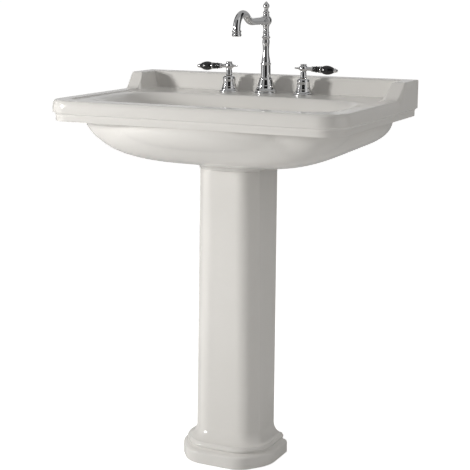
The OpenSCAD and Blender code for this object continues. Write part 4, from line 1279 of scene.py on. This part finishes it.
# %% A tree for a thread
def thread_tree():
    tree, start, end = tree_with("thread_ridge", ("Radius", "Float"), ("Turns", "Float"),
                                 ("Length", "Float"), ("Ridge", "Float"))
    coil = add(tree, "GeometryNodeCurveSpiral")
    coil.inputs["Resolution"].default_value = 36
    for end_of in ("Start Radius", "End Radius"):
        join(tree, start, "Radius", coil, end_of)
    join(tree, start, "Turns", coil, "Rotations")
    join(tree, start, "Length", coil, "Height")
    ridge = add(tree, "GeometryNodeCurvePrimitiveCircle")
    ridge.inputs["Resolution"].default_value = 4
    join(tree, start, "Ridge", ridge, "Radius")
    wind = add(tree, "GeometryNodeCurveToMesh")
    wind.inputs["Fill Caps"].default_value = True
    join(tree, coil, "Curve", wind, "Curve")
    join(tree, ridge, "Curve", wind, "Profile Curve")
    realize_and_finish(tree, start, wind, "Mesh", end)
    return tree


threads = thread_tree()
print("thread tree:", len(threads.nodes), "nodes")

# %% Wind the threads
RIDGE = 0.42
RIDGE_SUNK = 0.2
WASHER_T = 2.5
NUT_H = 8
UNDER_NUTS = DECK_Z - DECK_THICK - WASHER_T - NUT_H
SUPPLY_LOW = DECK_Z - 57 - 33


def thread(name, slot, x, bottom, r, length, pitch):
    ridge = grow(name, threads, bpy.data.meshes.new(name),
                 {"Radius": (r - RIDGE_SUNK) * MM, "Turns": length / pitch, "Length": length * MM,
                  "Ridge": RIDGE * MM, "Finish": finishes[slot]})
    ridge.data.transform(at(x, TAP_Y, bottom))
    return settle(ridge, "sink", slot)


thread("spout_tail_thread", "chrome", 0, UNDER_NUTS - 9, r=9, length=8.5, pitch=1.5)
for side, prefix in SIDES:
    thread(prefix + "_valve_tail_thread", "brass", side * TAP_X, UNDER_NUTS - 18,
           r=13.2, length=17, pitch=1.8)
    thread(prefix + "_supply_thread", "brass", side * TAP_X, SUPPLY_LOW,
           r=10.2, length=18, pitch=1.8)
print("threads: five, with a ridge of", RIDGE)

# %% [markdown]
# ## Hidden plumbing
#
# The pieces below the deck have the right shape already, and rebuilding them would add
# nothing that anyone sees. Each one is copied, its loose triangles are merged and its round
# faces are smoothed by angle, and the copy stands in for the original. Its finish comes
# from the record, which names one for every node.

# %% Dress the remaining nodes
finish_of = {part["node"]: part["material_slot"] for part in frame["record"]["subparts"]}
hidden = sorted(set(nodes) - stood_for)
for name in hidden:
    mesh = nodes[name].data.copy()
    work = bmesh.new()
    work.from_mesh(mesh)
    bmesh.ops.remove_doubles(work, verts=work.verts, dist=2e-6)
    bmesh.ops.dissolve_degenerate(work, edges=work.edges, dist=1e-7)
    work.to_mesh(mesh)
    work.free()
    smooth_by_angle(mesh, 32)
    copy = bpy.data.objects.new(name + "_finished", mesh)
    bpy.context.scene.collection.objects.link(copy)
    settle(copy, nodes[name]["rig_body"], finish_of[name], name)
print("dressed", len(hidden), "hidden pieces")

# %% [markdown]
# Every piece now gets the finish of its slot, and so does the frame's own copy of each
# node, so that nothing anywhere is left in plain grey.

# %% Put the finishes on
for piece in [o for o in bpy.context.scene.objects if o.type == "MESH"]:
    slot = finish_of[piece.name] if "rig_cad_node" in piece else piece["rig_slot"]
    piece.data.materials.clear()
    piece.data.materials.append(finishes[slot])
print("finished:", len(stood_for), "nodes and the pieces that stand for them")

# %% [markdown]
# ## Studio
#
# Floor, cards and world are all flat pieces or small trees of nodes that glow for some rays
# and not for others. A few helpers make them, so that each one below says only what is its
# own.

# %% Helpers for the studio
def flat_piece(name, corners, faces):
    mesh = bpy.data.meshes.new(name)
    mesh.from_pydata(corners, [], faces)
    piece = bpy.data.objects.new(name, mesh)
    bpy.context.scene.collection.objects.link(piece)
    return piece


def empty_tree(owner):
    owner.use_nodes = True
    owner.node_tree.nodes.clear()
    return owner.node_tree


def glowing(tree, strength, kind_of="ShaderNodeEmission"):
    glow = add(tree, kind_of)
    glow.inputs["Strength"].default_value = strength
    return glow


def seen_directly(tree, rays):
    either = add(tree, "ShaderNodeMath", operation="MAXIMUM")
    join(tree, rays, "Is Camera Ray", either, 0)
    join(tree, rays, "Is Transmission Ray", either, 1)
    return either


def choose(tree, switch, out, otherwise, chosen):
    pick = add(tree, "ShaderNodeMixShader")
    join(tree, switch, out, pick, 0)
    join(tree, otherwise, 0, pick, 1)
    join(tree, chosen, 0, pick, 2)
    return pick


print("studio helpers: ready")

# %% [markdown]
# The floor is pale, and the background is white. More light could make them so, but it
# would also bleach the glaze. Instead their glow is for the camera alone: it adds no light
# to the object, and the floor keeps the soft shadow.

# %% Floor
FLOOR_HALF = 150
FLOOR_GLOW = 0.76
STUDIO_FLOOR_Z = -0.001
floor_corners = [(-1, -1), (1, -1), (1, 1), (-1, 1)]
floor = flat_piece("studio_floor",
                   [(x * FLOOR_HALF, y * FLOOR_HALF, STUDIO_FLOOR_Z) for x, y in floor_corners],
                   [(0, 1, 2, 3)])
pale = bpy.data.materials.new("pale_floor")
tree = empty_tree(pale)
paper = add(tree, "ShaderNodeBsdfDiffuse")
paper.inputs["Color"].default_value = (0.86, 0.86, 0.86, 1)
direct = seen_directly(tree, add(tree, "ShaderNodeLightPath"))
shine = choose(tree, direct, 0, glowing(tree, 0), glowing(tree, FLOOR_GLOW))
total = add(tree, "ShaderNodeAddShader")
join(tree, paper, 0, total, 0)
join(tree, shine, 0, total, 1)
join(tree, total, 0, add(tree, "ShaderNodeOutputMaterial"), "Surface")
floor.data.materials.append(pale)
print("floor:", 2 * FLOOR_HALF, "metres wide")

# %% [markdown]
# The world's light grows from nothing at the horizon to its full strength overhead, as in a
# room with a bright ceiling. An even light would be simpler, but it would fill the shade
# under the bowl. Whatever mirrors the world sees an even grey instead.

# %% World
SKY_TOP = 0.47
METAL_GREY = 0.45

world = bpy.data.worlds.new("studio")
bpy.context.scene.world = world
tree = empty_tree(world)
even = add(tree, "ShaderNodeBackground")
even.inputs["Color"].default_value = (1.0, 0.985, 0.965, 1)
sky = add(tree, "ShaderNodeTexCoord")
parts = add(tree, "ShaderNodeSeparateXYZ")
height = add(tree, "ShaderNodeMapRange")
for label, value in (("From Min", 0.0), ("From Max", 1.0), ("To Min", 0.0), ("To Max", SKY_TOP)):
    height.inputs[label].default_value = value
join(tree, sky, "Generated", parts, "Vector")
join(tree, parts, "Z", height, "Value")
join(tree, height, "Result", even, "Strength")
white = glowing(tree, 1.0, "ShaderNodeBackground")
white.inputs["Color"].default_value = (1, 1, 1, 1)
mirrored = glowing(tree, METAL_GREY, "ShaderNodeBackground")
rays = add(tree, "ShaderNodeLightPath")
in_metal = choose(tree, rays, "Is Glossy Ray", even, mirrored)
all_rays = choose(tree, seen_directly(tree, rays), 0, in_metal, white)
join(tree, all_rays, 0, add(tree, "ShaderNodeOutputWorld"), "Surface")
print("world: white to the eye,", SKY_TOP, "overhead to the glaze")

# %% [markdown]
# Chrome has no colour of its own, and looks like metal only when it has something dark and
# something bright to reflect. So grey, black and bright cards stand round the sink, bent
# round it in arcs, and only what is polished sees them. Angles go round from the front, and
# are positive to the right.

# %% Cards for the metal
CARD_STEPS = 24


def card(name, start, end, brightness, low=0.0, high=6.0, distance=4.0):
    turns = [math.radians(a) for a in np.linspace(start, end, CARD_STEPS + 1)]
    foot_of = [(distance * math.sin(a), -distance * math.cos(a), low) for a in turns]
    head_of = [(x, y, high) for x, y, z in foot_of]
    above = CARD_STEPS + 1
    faces = [(i, i + 1, i + 1 + above, i + above) for i in range(CARD_STEPS)]
    screen = flat_piece(name, foot_of + head_of, faces)
    look = bpy.data.materials.new(name)
    tree = empty_tree(look)
    join(tree, glowing(tree, brightness), 0, add(tree, "ShaderNodeOutputMaterial"), "Surface")
    screen.data.materials.append(look)
    screen.visible_camera = False
    screen.visible_diffuse = False
    screen.visible_shadow = False
    screen.visible_transmission = False


card("wall_left", -178, 0, 0.28, high=0.9, distance=4.4)
card("wall_right", 0, 178, 0.28, high=0.9, distance=4.4)
card("sky_behind", -176, -132, 0.8, low=1.2, high=3.4, distance=4.4)
card("dark_front", 0, 52, 0.01)
card("dark_right", 116, 146, 0.02)
card("dark_left", -124, -90, 0.02)
card("dark_strip", -44, -32, 0.03)
card("pale_right", 64, 98, 0.65)
card("window_frame", -66, -52, 1.2, high=3.0, distance=3.9)
print("cards: nine")

# %% [markdown]
# One low lamp from the front left stands for a window, and gives the glaze its highlights.
# A wide faint lamp fills from the right, and another sends up what the floor would throw
# back. Those two make no highlight.

# %% Lamps
def soft_box(name, place_of, aim, size, power, colour, glossy):
    lamp = bpy.data.lights.new(name, "AREA")
    lamp.shape = "RECTANGLE"
    lamp.size, lamp.size_y = size
    lamp.energy = power
    lamp.color = colour
    holder = bpy.data.objects.new(name, lamp)
    bpy.context.scene.collection.objects.link(holder)
    holder.location = place_of
    holder.rotation_euler = (Vector(place_of) - Vector(aim)).to_track_quat("Z", "Y").to_euler()
    holder.visible_camera = False
    holder.visible_glossy = glossy


DAYLIGHT = (1.0, 0.99, 0.97)
ROOM_LIGHT = (1.0, 0.985, 0.96)
RIM_MIDDLE = (0, 0, 0.75)
soft_box("window", (-2.16, -2.02, 1.27), RIM_MIDDLE, (0.45, 0.45), 58, DAYLIGHT, True)
soft_box("room_light", (2.9, 0, 2.1), RIM_MIDDLE, (2.0, 2.0), 15, ROOM_LIGHT, False)
soft_box("floor_bounce", (0.1, -1.1, 0.03), (0.1, -1.1, 1.0), (2.4, 1.4), 2, ROOM_LIGHT, False)
print("lamps: window, room and floor")

# %% [markdown]
# ## Camera
#
# A long lens from about three metres, a little above the rim and to the right of the
# basin's middle, keeps the upright lines upright.

# %% Camera
AZIMUTH = math.radians(26.07)
PITCH = math.radians(11.67)
ROLL = math.radians(0.21)
STAND = (1.27126, -2.59054, 1.14305)
LENS_MM = 94.73

back = Vector((math.sin(AZIMUTH) * math.cos(PITCH), -math.cos(AZIMUTH) * math.cos(PITCH),
               math.sin(PITCH)))
level = Vector((0, 0, 1)).cross(back).normalized()
upward = back.cross(level)
right = level * math.cos(ROLL) + upward * math.sin(ROLL)
up = upward * math.cos(ROLL) - level * math.sin(ROLL)
lens = bpy.data.cameras.new("camera")
lens.sensor_width = 36
lens.lens = LENS_MM
lens.clip_end = 500
camera = bpy.data.objects.new("camera", lens)
bpy.context.scene.collection.objects.link(camera)
camera.matrix_world = Matrix.Translation(STAND) @ Matrix((right, up, back)).transposed().to_4x4()
bpy.context.scene.camera = camera
bpy.context.scene.view_settings.view_transform = "Standard"
print("camera: lens", LENS_MM, "at", STAND)
